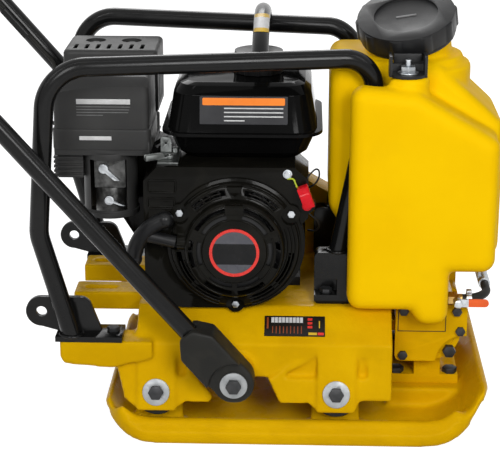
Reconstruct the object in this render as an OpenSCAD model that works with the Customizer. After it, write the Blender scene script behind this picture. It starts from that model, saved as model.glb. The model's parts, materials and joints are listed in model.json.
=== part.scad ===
// Vibrating plate compactor: cast sole plate, sprung engine bed, petrol engine,
// roll frame, water tank and folding handle.
// X runs forwards, Y to the machine's left, Z up. The origin is the centre of the sole.

/* [Plate] */
// Length of the flat sole
sole_len = 400; // [385:1:415]
// Width of the sole plate
plate_w = 444; // [436:1:470]
// Thickness of the sole and toes
plate_t = 12; // [10:0.5:14]
// Radius of the upturned toes
toe_r = 90; // [84:1:100]
// Angle that the toes turn through
toe_angle = 55; // [48:1:60]
// Straight length past the front toe's curve
front_tip = 45; // [35:1:55]
// Straight length past the rear toe's curve
rear_tip = 8; // [4:1:16]
// Corner radius of the plate seen from above
corner_r = 70; // [50:1:85]
// Height of the side rim
rim_h = 34; // [28:1:38]
// Height of the rim's outer foot
rim_foot = 19; // [14:1:22]
// Width of the side rim
rim_w = 32; // [28:1:36]

/* [Rubber buffers] */
// Rear buffers ahead of the flat sole's rear edge
buffer_rear_in = 5; // [0:1:10]
// Place of the front buffers along X
buffer_front_x = 70; // [66:1:74]
// Height of the buffer bolts
buffer_z = 78; // [76:1:84]
// Distance from the middle to the face of each buffer boss
boss_half = 208; // [204:1:212]
// Tilt of the buffer axes from level
buffer_tilt = 15; // [12:1:18]
// Diameter of the rubber
buffer_d = 72; // [60:1:74]
// Length of the rubber
buffer_len = 40; // [34:1:46]
// Width of each boss
boss_w = 56; // [50:1:60]
// Thickness of the boss wall
boss_t = 14; // [12:0.5:16]

/* [Engine bed] */
// Height of the engine deck
deck_z = 187; // [184:1:192]
// Thickness of the deck
deck_t = 12; // [9:0.5:14]
// Half width of the level deck
deck_half = 132; // [129:1:136]
// Half width across the skirts
skirt_half = 190; // [187:1:193]
// Height where the slope meets the skirt
fold_z = 148; // [144:1:152]
// Wall of the skirts
skirt_wall = 11; // [8:0.5:13]
// Lower edge of the skirt between the bosses
skirt_low = 96; // [92:1:100]
// Rear edge of the deck
bed_rear = -226; // [-232:1:-222]
// Clear length from the bed's front edge to the exciter shaft
bed_gap = 60; // [57:1:64]
// Spacing of the two engine rails
rail_gap = 120; // [112:1:128]
// Width of each rail
rail_w = 50; // [46:1:54]
// Height of each rail
rail_h = 28; // [24:1:32]
// Rear end of the rails
rail_rear = -330; // [-340:1:-318]
// Thickness of the arm that carries a rear frame foot
arm_h = 36; // [32:1:40]

/* [Exciter] */
// Exciter shaft ahead of the flat sole
exciter_ahead = 12; // [10:0.5:14]
// Height of the exciter shaft
exciter_z = 135; // [131:0.5:136]
// Outer radius of the exciter case
exciter_r = 48; // [46:0.5:50]
// Half length of the exciter case
exciter_half = 95; // [90:1:98]
// Bore radius of the exciter case
exciter_bore = 40; // [38:0.5:41]
// Diameter of the eccentric shaft
shaft_d = 25; // [22:0.5:28]
// Radius of the eccentric weight
weight_r = 35; // [30:0.5:36]
// Outer diameter of the bearings
bearing_d = 62; // [56:1:66]
// Width of the bearings
bearing_w = 17; // [14:1:18]
// Thickness of the exciter's end covers
cover_t = 10; // [8:0.5:12]
// Thickness of the foot under the exciter case
foot_t = 14; // [11:0.5:16]

/* [Belt drive] */
// Distance from the engine's drive face to the belt's middle
belt_gap = 55; // [52:1:58]
// Width of the belt
belt_w = 13; // [10:0.5:15]
// Thickness of the belt
belt_t = 9; // [7:0.5:10]
// Groove bottom radius of the clutch pulley
clutch_r = 44; // [40:0.5:46]
// Groove bottom radius of the exciter pulley
pulley_r = 38; // [34:0.5:40]
// Room between the belt and its guard
guard_room = 11; // [8:0.5:12]
// Sheet thickness of the belt guard
guard_t = 2.5; // [2:0.25:3]

/* [Engine] */
// Distance of the crankshaft behind the bed's front edge
crank_back = 232; // [228:1:236]
// Height of the crankshaft above the deck
crank_h = 103; // [103:0.5:106]
// Diameter of the crankshaft
crank_d = 20; // [18:0.5:22]
// Left end face of the crankcase
engine_y = 95; // [92:1:97]
// Length of the crankcase
case_len = 140; // [136:1:144]
// Radius of the crankcase
case_r = 80; // [76:1:84]
// Depth of the fan housing
fan_depth = 100; // [94:1:104]
// Radius of the fan housing
fan_r = 102; // [98:0.5:102.5]
// Wall of the fan housing
fan_wall = 3; // [2:0.25:4]
// Depth of the starter cover
recoil_depth = 43; // [38:1:46]
// Radius of the starter cover's dome
recoil_r = 76; // [72:0.5:78]
// Angle of the cylinder above level
cyl_angle = 25; // [23:1:27]
// Distance from the crankshaft to the cylinder's foot
cyl_foot = 84; // [82:1:88]
// Length of the finned barrel
barrel_len = 52; // [48:1:54]
// Length of the cylinder head
head_len = 40; // [36:1:42]
// Width across the fins
fin_w = 104; // [96:1:106]
// Pitch of the fins
fin_pitch = 8.5; // [7:0.5:11]
// Thickness of a fin
fin_t = 3; // [2:0.25:4]

/* [Fuel tank] */
// Fuel tank's reach behind the crankshaft
tank_back = 110; // [106:1:114]
// Fuel tank's reach ahead of the crankshaft
tank_reach = 126; // [122:1:128]
// Right edge of the seam flange
tank_right = -125; // [-128:1:-120]
// Left edge of the seam flange
tank_left = 105; // [100:1:110]
// Height of the seam above the fan housing's top
seam_h = 41; // [38:1:44]
// Height of the tank above its seam
shell_h = 72; // [66:1:76]
// Diameter of the filler cap
fuel_cap_d = 72; // [66:1:76]

/* [Air cleaner and muffler] */
// Distance of the air cleaner's rear side behind the crankshaft
cleaner_back = 267; // [263:1:270]
// Length of the air cleaner along X
cleaner_len = 140; // [134:1:144]
// Depth of the air cleaner along Y
cleaner_w = 114; // [106:1:116]
// Right face of the air cleaner
cleaner_right = -112; // [-114:1:-108]
// Height of the air cleaner's base above the deck
cleaner_z = 225; // [224:0.5:228]
// Height of the air cleaner's base
cleaner_base_h = 20; // [16:1:24]
// Height of the air cleaner's cover
cleaner_h = 94; // [88:1:98]
// Gap between the air cleaner and the muffler guard
muffler_gap = 12; // [8:1:16]
// Depth of the muffler guard along Y
muffler_w = 114; // [106:1:120]
// Height of the muffler guard
muffler_h = 100; // [94:1:104]

/* [Frame] */
// Diameter of the frame and handle tubes
tube_d = 28; // [25:0.5:30]
// Height of the top rails
rail_z = 560; // [556:1:566]
// Half spacing of the rear uprights
rear_half = 192; // [189:1:195]
// Half spacing of the front legs
front_half = 108; // [106:1:110]
// Bend radius at the rear top corners
rear_bend = 62; // [52:1:72]
// Bend radius at the front top corners
front_bend = 45; // [40:1:52]
// Rise of the lifting arch above the rails
arch_rise = 42; // [34:1:50]
// Lifting arch ahead of the crankshaft
arch_ahead = 35; // [25:1:45]
// Left frame's front bend behind the right one's
left_back = 25; // [0:1:30]
// Thickness of the rear foot plates
plate_foot_t = 8; // [6:0.5:10]
// Top of the front feet above the deck
front_foot_h = 81; // [74:1:88]
// Bore of the tie-down lugs
lug_bore = 16; // [12:0.5:20]

/* [Handle] */
// Half spacing of the handle arms
arm_half = 232; // [230:0.5:236]
// Angle of the arms above level
arm_angle = 49.3; // [47:0.1:52]
// Place of the handle pivots along X
pivot_x = -79; // [-82:1:-76]
// Height of the handle pivots
pivot_z = 108; // [106:1:112]
// Length of an arm from its pivot to its bend
arm_len = 880; // [800:5:950]
// Length of the handle's rear run
grip_run = 220; // [180:5:260]
// Angle of the rear run above level
grip_angle = 20; // [10:1:30]
// Width of the rubber boots
boot_w = 60; // [54:1:64]
// Length of the boots above their pivots
boot_len = 104; // [98:1:112]
// Depth of the boots along Y
boot_t = 52; // [48:0.5:54]

/* [Water tank] */
// Tank's middle, reach behind the bed's front edge
water_back = 96; // [92:0.5:97]
// Tank's right lobe, reach behind the bed's front edge
lobe_back = 68; // [62:0.5:69]
// Tank's reach ahead of the exciter shaft
water_reach = 100; // [94:1:106]
// Half width of the tank
water_half = 165; // [160:1:170]
// Height of the tank's shoulder above the deck
shoulder_h = 339; // [332:1:344]
// Edge radius of the tank
water_r = 20; // [16:1:24]
// Wall of the tank
water_wall = 14; // [10:0.5:18]
// Radius of the filler neck
neck_r = 62; // [58:0.5:64]
// Wall of the filler neck
neck_wall = 6; // [4:0.5:8]
// Tilt of the filler neck towards the right side
neck_tilt = 20; // [16:1:22]
// Tilt of the filler neck towards the rear
neck_lean = 9; // [6:1:11]
// Height of the filler cap
cap_h = 28; // [24:1:32]
// Outer radius of the filler cap
cap_r = 75; // [72:0.5:77]

/* [Clearances] */
// Radial clearance of a running shaft
run_gap = 0.04; // [0.02:0.01:0.08]
// Gap between pieces that move past each other
move_gap = 0.4; // [0.3:0.05:0.6]

/* [Hidden] */
$fn = 64;

yellow = [0.95, 0.74, 0.02];
black = [0.05, 0.05, 0.055];
graphite = [0.12, 0.12, 0.13];
zinc = [0.72, 0.73, 0.74];
castgrey = [0.42, 0.43, 0.44];
rubber = [0.08, 0.08, 0.08];
brass = [0.78, 0.62, 0.25];
red = [0.8, 0.06, 0.05];
orange = [0.95, 0.35, 0.05];

eps = 0.01;
// Running clearance on the diameter
play = 2 * run_gap;
far = 600;
// How far a straight tube runs into a bend, and how much the bend swells over it
bend_lap = 1;
bend_swell = 0.1;

// Plate
exciter_x = sole_len / 2 + exciter_ahead;
bed_front = exciter_x - bed_gap;
front_end = sole_len / 2 + toe_r * sin(toe_angle) + front_tip * cos(toe_angle);
rear_end = -(sole_len / 2 + toe_r * sin(toe_angle) + rear_tip * cos(toe_angle));
pad_z = exciter_z - exciter_r - 45;
pad_rear = exciter_x - 62;
foot_half = 48;
pad_front = exciter_x + foot_half;
toe_gap_x = pad_front - sole_len / 2;
toe_under = toe_r - sqrt(toe_r * toe_r - toe_gap_x * toe_gap_x);

// Buffers
buffer_rear_x = buffer_rear_in - sole_len / 2;
buffer_xs = [buffer_rear_x, buffer_front_x];
boss_low = buffer_z - 28;
buffer_bolt_d = 12;
washer_d = 40;
washer_t = 3;
ear_t = 14;

// Drive
crank_z = deck_z + crank_h;
crank_x = bed_front - crank_back;
crank = [crank_x, crank_z];
tank_rear = crank_x - tank_back;
tank_front = crank_x + tank_reach;
exciter = [exciter_x, exciter_z];
belt_y = engine_y + belt_gap;
guard_back_y = belt_y - 26;
guard_out_y = belt_y + 28;
guard_clutch_r = clutch_r + belt_t + guard_room;
guard_pulley_r = pulley_r + belt_t + guard_room;
guard_slot = 7;

// Engine
case_front = engine_y - case_len;
fan_front = case_front - fan_depth;
recoil_front = fan_front - recoil_depth;
base_flange = 14;
fan_top = crank_z + 115;
fan_left = crank_x - 134;
fan_right = crank_x + 106;
cyl_y = engine_y - 70;
head_z = cyl_foot + barrel_len;
cover_z = head_z + head_len;
seam_z = fan_top + seam_h;
tank_top = seam_z + shell_h;
filler = [crank_x + 30, -20];
engine_bolt_x = 81;
engine_bolt_y = 37.7;
engine_mid_y = 10;
switch_z = crank_z + 62;
scroll_drop = 44;

// Air cleaner and muffler
cleaner_rear = crank_x - cleaner_back;
cleaner_low = deck_z + cleaner_z;
cleaner_top = cleaner_low + cleaner_base_h;
cleaner_front = cleaner_rear + cleaner_len;
cleaner_left = cleaner_right + cleaner_w;
muffler_right = cleaner_left + muffler_gap;
muffler_left = muffler_right + muffler_w;
muffler_z = cleaner_top + 8;
carb_x = cleaner_rear + 78;
carb_y = cleaner_right + 36;
carb_low = cleaner_low - 68;
duct_y = cyl_y - fin_w / 2 - 4;
duct_top = cleaner_low - 20;
duct_low = crank_z - 28;

// Frame
arm_top = fold_z + 6;
foot_top = arm_top + plate_foot_t;
foot_x = rail_rear + 10;
front_foot_z = deck_z + front_foot_h;
lug_x = foot_x - 45;
lug_z = foot_top + 29;
lug_top = lug_z + lug_bore / 2 + 15;
leg_top = [bed_front - 24, -front_half, rail_z];
leg_low = [bed_front - 86, -front_half, front_foot_z - 30];
arch_x = crank_x + arch_ahead;
frame_pts = [
  [foot_x + 9, -rear_half, foot_top - 30],
  [foot_x - 41, -rear_half, foot_top + 154],
  [foot_x - 22, -rear_half, rail_z],
  leg_top,
  leg_low
];
left_pts = [for (i = [0:4]) frame_pts[i] - (i == 3 ? [left_back, 0, 0] : [0, 0, 0])];
// Where a frame's rail runs along Y, at a place along X
function rail_y(pts, x) =
  pts[2][1] + (pts[3][1] - pts[2][1]) * (x - pts[2][0]) / (pts[3][0] - pts[2][0]);

// Handle
arm_dir = [-cos(arm_angle), 0, sin(arm_angle)];
grip_dir = [-cos(grip_angle), 0, sin(grip_angle)];
pivot = [pivot_x, 0, pivot_z];
arm_bend = pivot + arm_len * arm_dir;
grip_end = arm_bend + grip_run * grip_dir;
boot_in = boss_half - 2;
boot_out = boot_in + boot_t;
arm_seat = boot_len - 60;
clip_at = 575;

// Water tank
water_rear = bed_front - water_back;
lobe_rear = bed_front - lobe_back;
water_front = exciter_x + water_reach;
neck_base = [exciter_x - 36, -5, deck_z + 358];
neck_len = 62;
cap_from = 40;
shoulder_z = deck_z + shoulder_h;
water_top = shoulder_z + 22;
water_under = deck_z + 63;
sump_z = deck_z - 20;
sump_front = exciter_x + 22;
groove_right = front_half + tube_d / 2 + 6;
groove_left = front_half - tube_d / 2 - 2;
boss_at = [neck_base[0] - 10, -(water_half - 47)];
strap_half = 27;
boss_top = shoulder_z + 10;
tap_z = sump_z + 27;
tap_y = -(water_half - 55);
hose_d = 13;
hose_bend = 40;
tap_end = sump_front + 24;
pipe_x = tap_end + hose_bend;

// A 2D outline in X and Z, drawn out along Y
module run_y(y0, y1) {
  translate([0, y1, 0])
    rotate([90, 0, 0])
      linear_extrude(height = y1 - y0)
        children();
}

// A 2D outline in Y and Z, drawn out along X
module run_x(x0, x1) {
  translate([x0, 0, 0])
    rotate([90, 0, 90])
      linear_extrude(height = x1 - x0)
        children();
}

// A 2D outline in X and Y, drawn up along Z
module run_z(z0, z1) {
  translate([0, 0, z0])
    linear_extrude(height = z1 - z0)
      children();
}

// A block between two corners
module block(low, high) {
  translate(low)
    cube(high - low);
}

// A round post of height h on a point
module post(x, y, z, h, d) {
  translate([x, y, z])
    cylinder(h = h, d = d);
}

// Round bars along Y, on the exciter's and the crankshaft's axis, and along X
module bar_y(x, z, y0, y1, d) {
  translate([x, y1, z])
    rotate([90, 0, 0])
      cylinder(h = y1 - y0, d = d);
}

module shaft_bar(y0, y1, d) {
  bar_y(exciter_x, exciter_z, y0, y1, d);
}

module crank_bar(y0, y1, d) {
  bar_y(crank_x, crank_z, y0, y1, d);
}

module bar_x(y, z, x0, x1, d) {
  translate([x0, y, z])
    rotate([0, 90, 0])
      cylinder(h = x1 - x0, d = d);
}

// The piece and its mirror image on the left side
module both_sides() {
  children();
  mirror([0, 1, 0])
    children();
}

// A rectangle with round corners
module round_rect(x0, x1, y0, y1, r) {
  translate([x0 + r, y0])
    square([x1 - x0 - 2 * r, y1 - y0]);
  translate([x0, y0 + r])
    square([x1 - x0, y1 - y0 - 2 * r]);
  for (x = [x0 + r, x1 - r], y = [y0 + r, y1 - r])
    translate([x, y])
      circle(r = r);
}

// The outline of a loop drawn tight around two wheels
module loop_2d(a, ra, b, rb) {
  d = b - a;
  base = atan2(d[1], d[0]);
  lean = acos((ra - rb) / norm(d));
  up = [cos(base + lean), sin(base + lean)];
  down = [cos(base - lean), sin(base - lean)];
  pa = ra - 0.02;
  pb = rb - 0.02;
  translate(a)
    circle(r = ra);
  translate(b)
    circle(r = rb);
  polygon([a + pa * up, a + pa * down, b + pb * down, b + pb * up]);
}

function unit(v) = v / norm(v);

// A straight round bar between two points
module rod(a, b, d) {
  v = b - a;
  translate(a)
    rotate([0, acos(v[2] / norm(v)), atan2(v[1], v[0])])
      cylinder(h = norm(v), d = d);
}

// How far a bend of radius r starts before the corner at point i
function bend_reach(pts, i, r) =
  let (u = unit(pts[i - 1] - pts[i]), w = unit(pts[i + 1] - pts[i]))
  r * tan((180 - acos(u * w)) / 2);

// A round bar through points, with a bend of its own radius at each inner corner
module bent_bar(pts, radii, d) {
  n = len(pts);
  reach = [for (i = [0:n - 1]) (i == 0 || i == n - 1) ? 0 : bend_reach(pts, i, radii[i - 1])];
  for (i = [0:n - 2]) {
    v = unit(pts[i + 1] - pts[i]);
    from = (i == 0) ? 0 : reach[i] - bend_lap;
    to = (i == n - 2) ? 0 : reach[i + 1] - bend_lap;
    rod(pts[i] + from * v, pts[i + 1] - to * v, d);
  }
  for (i = [1:n - 2]) {
    u = unit(pts[i - 1] - pts[i]);
    w = unit(pts[i + 1] - pts[i]);
    half = acos(u * w) / 2;
    centre = pts[i] + unit(u + w) * radii[i - 1] / sin(half);
    e1 = unit(pts[i] + reach[i] * u - centre);
    e2 = unit(pts[i] + reach[i] * w - centre);
    axis = unit(cross(e1, e2));
    side = cross(axis, e1);
    multmatrix([
      [e1[0], side[0], axis[0], centre[0]],
      [e1[1], side[1], axis[1], centre[1]],
      [e1[2], side[2], axis[2], centre[2]],
      [0, 0, 0, 1]
    ])
      rotate_extrude(angle = 180 - 2 * half)
        translate([radii[i - 1], 0])
          circle(d = d + bend_swell);
  }
}

// A hexagon-headed bolt whose head sits on Z = 0 and whose shank runs down
module hex_bolt(d, shank) {
  cylinder(h = 0.65 * d, d = 1.9 * d, $fn = 6);
  post(0, 0, -shank, shank + eps, d);
}

// Stands its child on each buffer boss, with Z out of the boss face
module at_buffers() {
  for (x = buffer_xs)
    both_sides()
      translate([x, -boss_half, buffer_z])
        rotate([90 - buffer_tilt, 0, 0])
          children();
}

// Stands its children on each engine bolt's axis
module at_engine_bolts() {
  for (x = [-1, 1], y = [-1, 1])
    translate([crank_x + x * engine_bolt_x, engine_mid_y + y * engine_bolt_y, 0])
      children();
}

// Stands its child on the cylinder's axis, with Z from the crankshaft to the head
module on_cylinder() {
  translate([crank_x, cyl_y, crank_z])
    rotate([0, cyl_angle - 90, 0])
      children();
}

// Stands its child on the handle's right pivot, with Z up the arm
module on_arm() {
  translate(pivot)
    rotate([0, arm_angle - 90, 0])
      children();
}

// Stands its child on the filler neck, with Z out of the neck
module on_neck() {
  translate(neck_base)
    rotate([neck_tilt, -neck_lean, 0])
      children();
}

// A long ring section whose lower run is the sole and whose ends start the toes
module sole_loop(r) {
  translate([-sole_len / 2, toe_r - r])
    square([sole_len, 2 * r]);
  for (x = [-sole_len / 2, sole_len / 2])
    translate([x, toe_r])
      circle(r = r);
}

// Side view of the sole with both toes turned up
module sole_profile() {
  reach = 2 * toe_r;
  half = sole_len / 2;
  out = reach * sin(toe_angle);
  drop = toe_r - reach * cos(toe_angle);
  low = toe_r - reach;
  intersection() {
    difference() {
      sole_loop(toe_r);
      sole_loop(toe_r - plate_t);
    }
    polygon([
      [-half, toe_r], [half, toe_r], [half + out, drop], [half + out, low],
      [-half - out, low], [-half - out, drop]
    ]);
  }
  toe_tip(front_tip);
  mirror([1, 0])
    toe_tip(rear_tip);
}

// The straight end of a toe, let into the end of its curve
module toe_tip(tip) {
  lap = 1;
  inset = 0.1;
  translate([sole_len / 2 + toe_r * sin(toe_angle), toe_r - toe_r * cos(toe_angle)])
    rotate(toe_angle)
      translate([-lap, inset])
        square([tip + lap, plate_t - 2 * inset]);
}

// Section of the right rim: distance in from the plate's edge, and height
function rim_points() = [
  [0, 3], [0, rim_foot], [5, rim_foot + 2], [rim_w / 2 - 2, rim_h],
  [rim_w - 5, rim_h], [rim_w, plate_t - 2], [rim_w, 3]
];

module side_rim() {
  flat = [for (p = rim_points()) [p[0] - plate_w / 2, p[1]]];
  turned = [for (p = rim_points()) [toe_r - p[1], plate_w / 2 - p[0]]];
  run_x(-sole_len / 2, sole_len / 2)
    polygon(flat);
  for (end = [0, 1])
    mirror([end, 0, 0])
      translate([sole_len / 2, 0, toe_r])
        rotate([90, 0, 0])
          rotate([0, 0, -90])
            rotate_extrude(angle = toe_angle)
              polygon(turned);
}

// The four ears that carry the inner ends of the rubbers
module plate_ears() {
  seat = -(boss_t + buffer_len);
  intersection() {
    at_buffers()
      translate([0, 0, seat - ear_t])
        difference() {
          union() {
            cylinder(h = ear_t, d = buffer_d);
            translate([-buffer_d / 2, -120, 0])
              cube([buffer_d, 120, ear_t]);
          }
          post(0, 0, -1, ear_t + 2, buffer_bolt_d);
        }
    block([-far, -far, plate_t / 2], [far, far, far]);
  }
}

module base_plate() {
  color(yellow) {
    intersection() {
      union() {
        run_y(-plate_w / 2, plate_w / 2)
          sole_profile();
        both_sides()
          side_rim();
      }
      run_z(-1, far)
        round_rect(rear_end + 1, front_end - 1, -plate_w / 2, plate_w / 2, corner_r);
    }
    plate_ears();
    run_y(-exciter_half - 8, exciter_half + 8)
      polygon([
        [pad_rear, plate_t / 2],
        [sole_len / 2, plate_t / 2],
        [pad_front, toe_under + plate_t / 2],
        [pad_front, pad_z],
        [pad_rear, pad_z]
      ]);
  }
}

module buffer_rubbers() {
  color(rubber)
    at_buffers()
      translate([0, 0, -boss_t - buffer_len])
        difference() {
          cylinder(h = buffer_len, d = buffer_d);
          post(0, 0, buffer_len - 14, 15, buffer_bolt_d + 2 * move_gap);
        }
}

// A washer lying on Z = 0
module washer(outer, inner, t) {
  difference() {
    cylinder(h = t, d = outer);
    post(0, 0, -1, t + 2, inner);
  }
}

module washers() {
  color(zinc) {
    at_buffers()
      washer(washer_d, buffer_bolt_d + 2 * move_gap, washer_t);
    both_sides()
      translate([pivot_x, -boot_out + 12 - move_gap, pivot_z])
        rotate([90, 0, 0])
          washer(washer_d, buffer_bolt_d + play, washer_t);
  }
}

module hex_bolts() {
  color(graphite) {
    at_buffers()
      translate([0, 0, washer_t])
        hex_bolt(buffer_bolt_d, washer_t + boss_t + 12);
    both_sides()
      translate([pivot_x, -boot_out + 12 - move_gap - washer_t, pivot_z])
        rotate([90, 0, 0])
          hex_bolt(buffer_bolt_d, washer_t + boot_t - 12 + move_gap + 24);
  }
}

// Face of the bosses, as a distance from the middle at a height
function boss_face(z) = boss_half + (buffer_z - z) * tan(buffer_tilt);

// Section of the sloped wall behind a boss, with its outer face set in
module boss_section(set_in) {
  wall = boss_t / cos(buffer_tilt);
  top = buffer_z + (boss_half - set_in - skirt_half) / tan(buffer_tilt);
  inner_top = buffer_z + (boss_half - wall - skirt_half + skirt_wall) / tan(buffer_tilt);
  polygon([
    [-skirt_half, fold_z],
    [-skirt_half, min(top, fold_z - 1)],
    [-boss_face(boss_low) + set_in, boss_low],
    [-boss_face(boss_low) + wall, boss_low],
    [-skirt_half + skirt_wall, min(inner_top, fold_z - 6)],
    [-skirt_half + skirt_wall, fold_z]
  ]);
}

// A boss with the wings that tie it to the skirt
module bed_boss(x, wing) {
  run_x(x - boss_w / 2, x + boss_w / 2)
    boss_section(0);
  intersection() {
    run_x(x - 110, x + 110)
      boss_section(5);
    run_y(-far, 0)
      translate([x, 0])
        polygon(wing);
  }
}

// The bed's right half
module bed_half() {
  rear_wing = [
    [-62, 124], [-48, 66], [-28, boss_low], [28, boss_low], [42, boss_low + 12],
    [80, boss_low + 12], [84, boss_low + 20], [34, 122], [34, fold_z], [-62, fold_z]
  ];
  front_reach = bed_front - buffer_front_x;
  front_wing = [
    [-100, skirt_low], [-84, boss_low + 12], [-40, boss_low + 12], [-28, boss_low],
    [28, boss_low], [36, boss_low + 16], [front_reach, boss_low + 16], [front_reach, fold_z],
    [-20, fold_z]
  ];
  bed_boss(buffer_rear_x, rear_wing);
  bed_boss(buffer_front_x, front_wing);
  bar_y(pivot_x, pivot_z, -boot_in + move_gap, -skirt_half + skirt_wall, boot_w - 4);
  run_y(-skirt_half - 12, -skirt_half + 40)
    polygon([
      [rail_rear - 6, arm_top],
      [bed_rear + 26, arm_top],
      [bed_rear + 26, arm_top - 26],
      [bed_rear - 14, arm_top - arm_h],
      [bed_rear - 34, arm_top - arm_h - 6],
      [rail_rear, arm_top - arm_h],
      [rail_rear - 6, arm_top - arm_h + 10]
    ]);
  difference() {
    block([rail_rear, -(rail_gap + rail_w) / 2, deck_z - rail_h],
          [bed_rear + 60, -(rail_gap - rail_w) / 2, deck_z]);
    run_z(0, far)
      round_rect(rail_rear + 14, rail_rear + 64, -rail_gap / 2 - 5.5, -rail_gap / 2 + 5.5, 5.4);
  }
}

module engine_bed() {
  slope = [
    [-skirt_half, skirt_low], [-skirt_half, fold_z], [-deck_half, deck_z],
    [deck_half, deck_z], [skirt_half, fold_z], [skirt_half, skirt_low],
    [skirt_half - skirt_wall, skirt_low], [skirt_half - skirt_wall, fold_z - 5],
    [deck_half - 4, deck_z - deck_t], [-deck_half + 4, deck_z - deck_t],
    [-skirt_half + skirt_wall, fold_z - 5], [-skirt_half + skirt_wall, skirt_low]
  ];
  nose_low = boss_low + 16;
  nose = [
    [-skirt_half - 5, nose_low], [-skirt_half, fold_z], [-deck_half, deck_z],
    [deck_half, deck_z], [skirt_half, fold_z], [skirt_half + 5, nose_low]
  ];
  color(yellow)
    difference() {
      union() {
        run_x(bed_rear, bed_front)
          polygon(slope);
        run_x(bed_front - deck_t, bed_front)
          polygon(nose);
        both_sides()
          bed_half();
      }
      run_y(guard_back_y - 8, guard_out_y + 6)
        loop_2d(crank, guard_clutch_r + guard_slot, exciter, guard_pulley_r + guard_slot);
      at_buffers()
        post(0, 0, -boss_t - 20, 60, buffer_bolt_d + 2 * move_gap);
      at_buffers()
        post(0, 0, -boss_t - buffer_len - 6, buffer_len + 6, buffer_d + 4);
      bar_y(pivot_x, pivot_z, -far, far, buffer_bolt_d + play);
      at_engine_bolts()
        cylinder(h = far, d = 8.6);
      both_sides() {
        post(foot_x + 61, -skirt_half + 14, 0, far, 10.6);
        post(leg_low[0] - 12, -front_half, deck_z - 40, 60, 10.6);
      }
    }
}

module chassis_bolts() {
  color(graphite) {
    at_engine_bolts()
      translate([0, 0, deck_z + base_flange])
        hex_bolt(8, base_flange + deck_t + 4);
    both_sides() {
      translate([foot_x + 61, -skirt_half + 14, foot_top])
        hex_bolt(10, plate_foot_t + arm_h - 8);
      translate([leg_low[0] - 12, -front_half, deck_z + 14])
        hex_bolt(10, 14 + deck_t + 4);
    }
  }
}

// Places of the cover bolts about the exciter's axis
exciter_bolt_at = [[-40, -36], [46, 4], [-40, 36], [40, 36]];
plug_at = [31, -31];

module exciter_housing() {
  color(yellow)
    difference() {
      union() {
        shaft_bar(-exciter_half, exciter_half, 2 * exciter_r);
        block([exciter_x - 58, -exciter_half + 15, pad_z],
              [pad_front, exciter_half - 15, pad_z + foot_t]);
        block([exciter_x - 20, -exciter_half + 15, pad_z],
              [exciter_x + 20, exciter_half - 15, exciter_z]);
        both_sides()
          for (p = exciter_bolt_at)
            bar_y(exciter_x + p[0], exciter_z + p[1], -exciter_half, -exciter_half + 40, 20);
      }
      shaft_bar(-far, far, 2 * exciter_bore);
      both_sides()
        for (p = exciter_bolt_at)
          bar_y(exciter_x + p[0], exciter_z + p[1], -exciter_half - 1, -exciter_half + 24, 8.6);
      for (x = [-46, 36], y = [-1, 1])
        post(exciter_x + x, y * (exciter_half - 27), 0, pad_z + foot_t + 1, 12.6);
    }
}

// An end cover with the seat of its bearing, on the right side
module exciter_cover() {
  difference() {
    union() {
      run_y(-exciter_half - cover_t, -exciter_half)
        round_rect(exciter_x - 52, exciter_x + 56, exciter_z - 46, exciter_z + 46, 10);
      shaft_bar(-exciter_half - eps, -exciter_half + bearing_w + 4, 2 * exciter_bore - play);
    }
    shaft_bar(-exciter_half + 2, 0, bearing_d);
    bar_y(exciter_x + plug_at[0] + 22, exciter_z + plug_at[1] - 16, -far, -exciter_half + 1, 86);
    for (p = exciter_bolt_at)
      bar_y(exciter_x + p[0], exciter_z + p[1], -far, 0, 8.6);
  }
}

module exciter_cover_right() {
  color(yellow)
    exciter_cover();
}

module exciter_cover_left() {
  color(yellow)
    difference() {
      mirror([0, 1, 0])
        exciter_cover();
      shaft_bar(0, far, shaft_d + 2);
    }
}

module exciter_bearings() {
  color(zinc)
    both_sides()
      difference() {
        shaft_bar(-exciter_half + 2, -exciter_half + 2 + bearing_w, bearing_d - play);
        shaft_bar(-far, 0, shaft_d + play);
      }
}

module exciter_bolts() {
  color(graphite) {
    both_sides()
      for (p = exciter_bolt_at)
        translate([exciter_x + p[0], -exciter_half - cover_t, exciter_z + p[1]])
          rotate([90, 0, 0])
            hex_bolt(8, cover_t + 20);
    translate([exciter_x + plug_at[0], -exciter_half, exciter_z + plug_at[1]])
      rotate([90, 0, 0])
        cylinder(h = cover_t, d = 20, $fn = 6);
    for (x = [-46, 36], y = [-1, 1])
      translate([exciter_x + x, y * (exciter_half - 27), pad_z + foot_t])
        hex_bolt(12, foot_t);
  }
}

module eccentric_shaft() {
  color(castgrey) {
    shaft_bar(-exciter_half + 4, belt_y + 14, shaft_d);
    run_y(-exciter_half + bearing_w + 14, exciter_half - bearing_w - 14)
      translate(exciter)
        intersection() {
          circle(r = weight_r);
          translate([-weight_r, -2 * weight_r])
            square([2 * weight_r, 2 * weight_r + 10]);
        }
  }
}

// A grooved pulley about the Y axis, cheeks included
module grooved_pulley(at, y, groove_r, bore) {
  side = belt_w / 2 + move_gap;
  lip = groove_r + belt_t - 1;
  translate([at[0], y, at[1]])
    rotate([90, 0, 0])
      rotate_extrude()
        polygon([
          [bore / 2, -side - 4], [lip, -side - 4], [lip, -side], [groove_r, -side],
          [groove_r, side], [lip, side], [lip, side + 4], [bore / 2, side + 4]
        ]);
}

module exciter_pulley() {
  color(castgrey)
    grooved_pulley(exciter, belt_y, pulley_r, shaft_d + play);
}

module drive_belt() {
  color(rubber)
    run_y(belt_y - belt_w / 2, belt_y + belt_w / 2)
      difference() {
        loop_2d(crank, clutch_r + move_gap + belt_t, exciter, pulley_r + move_gap + belt_t);
        loop_2d(crank, clutch_r + move_gap, exciter, pulley_r + move_gap);
      }
}

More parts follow.
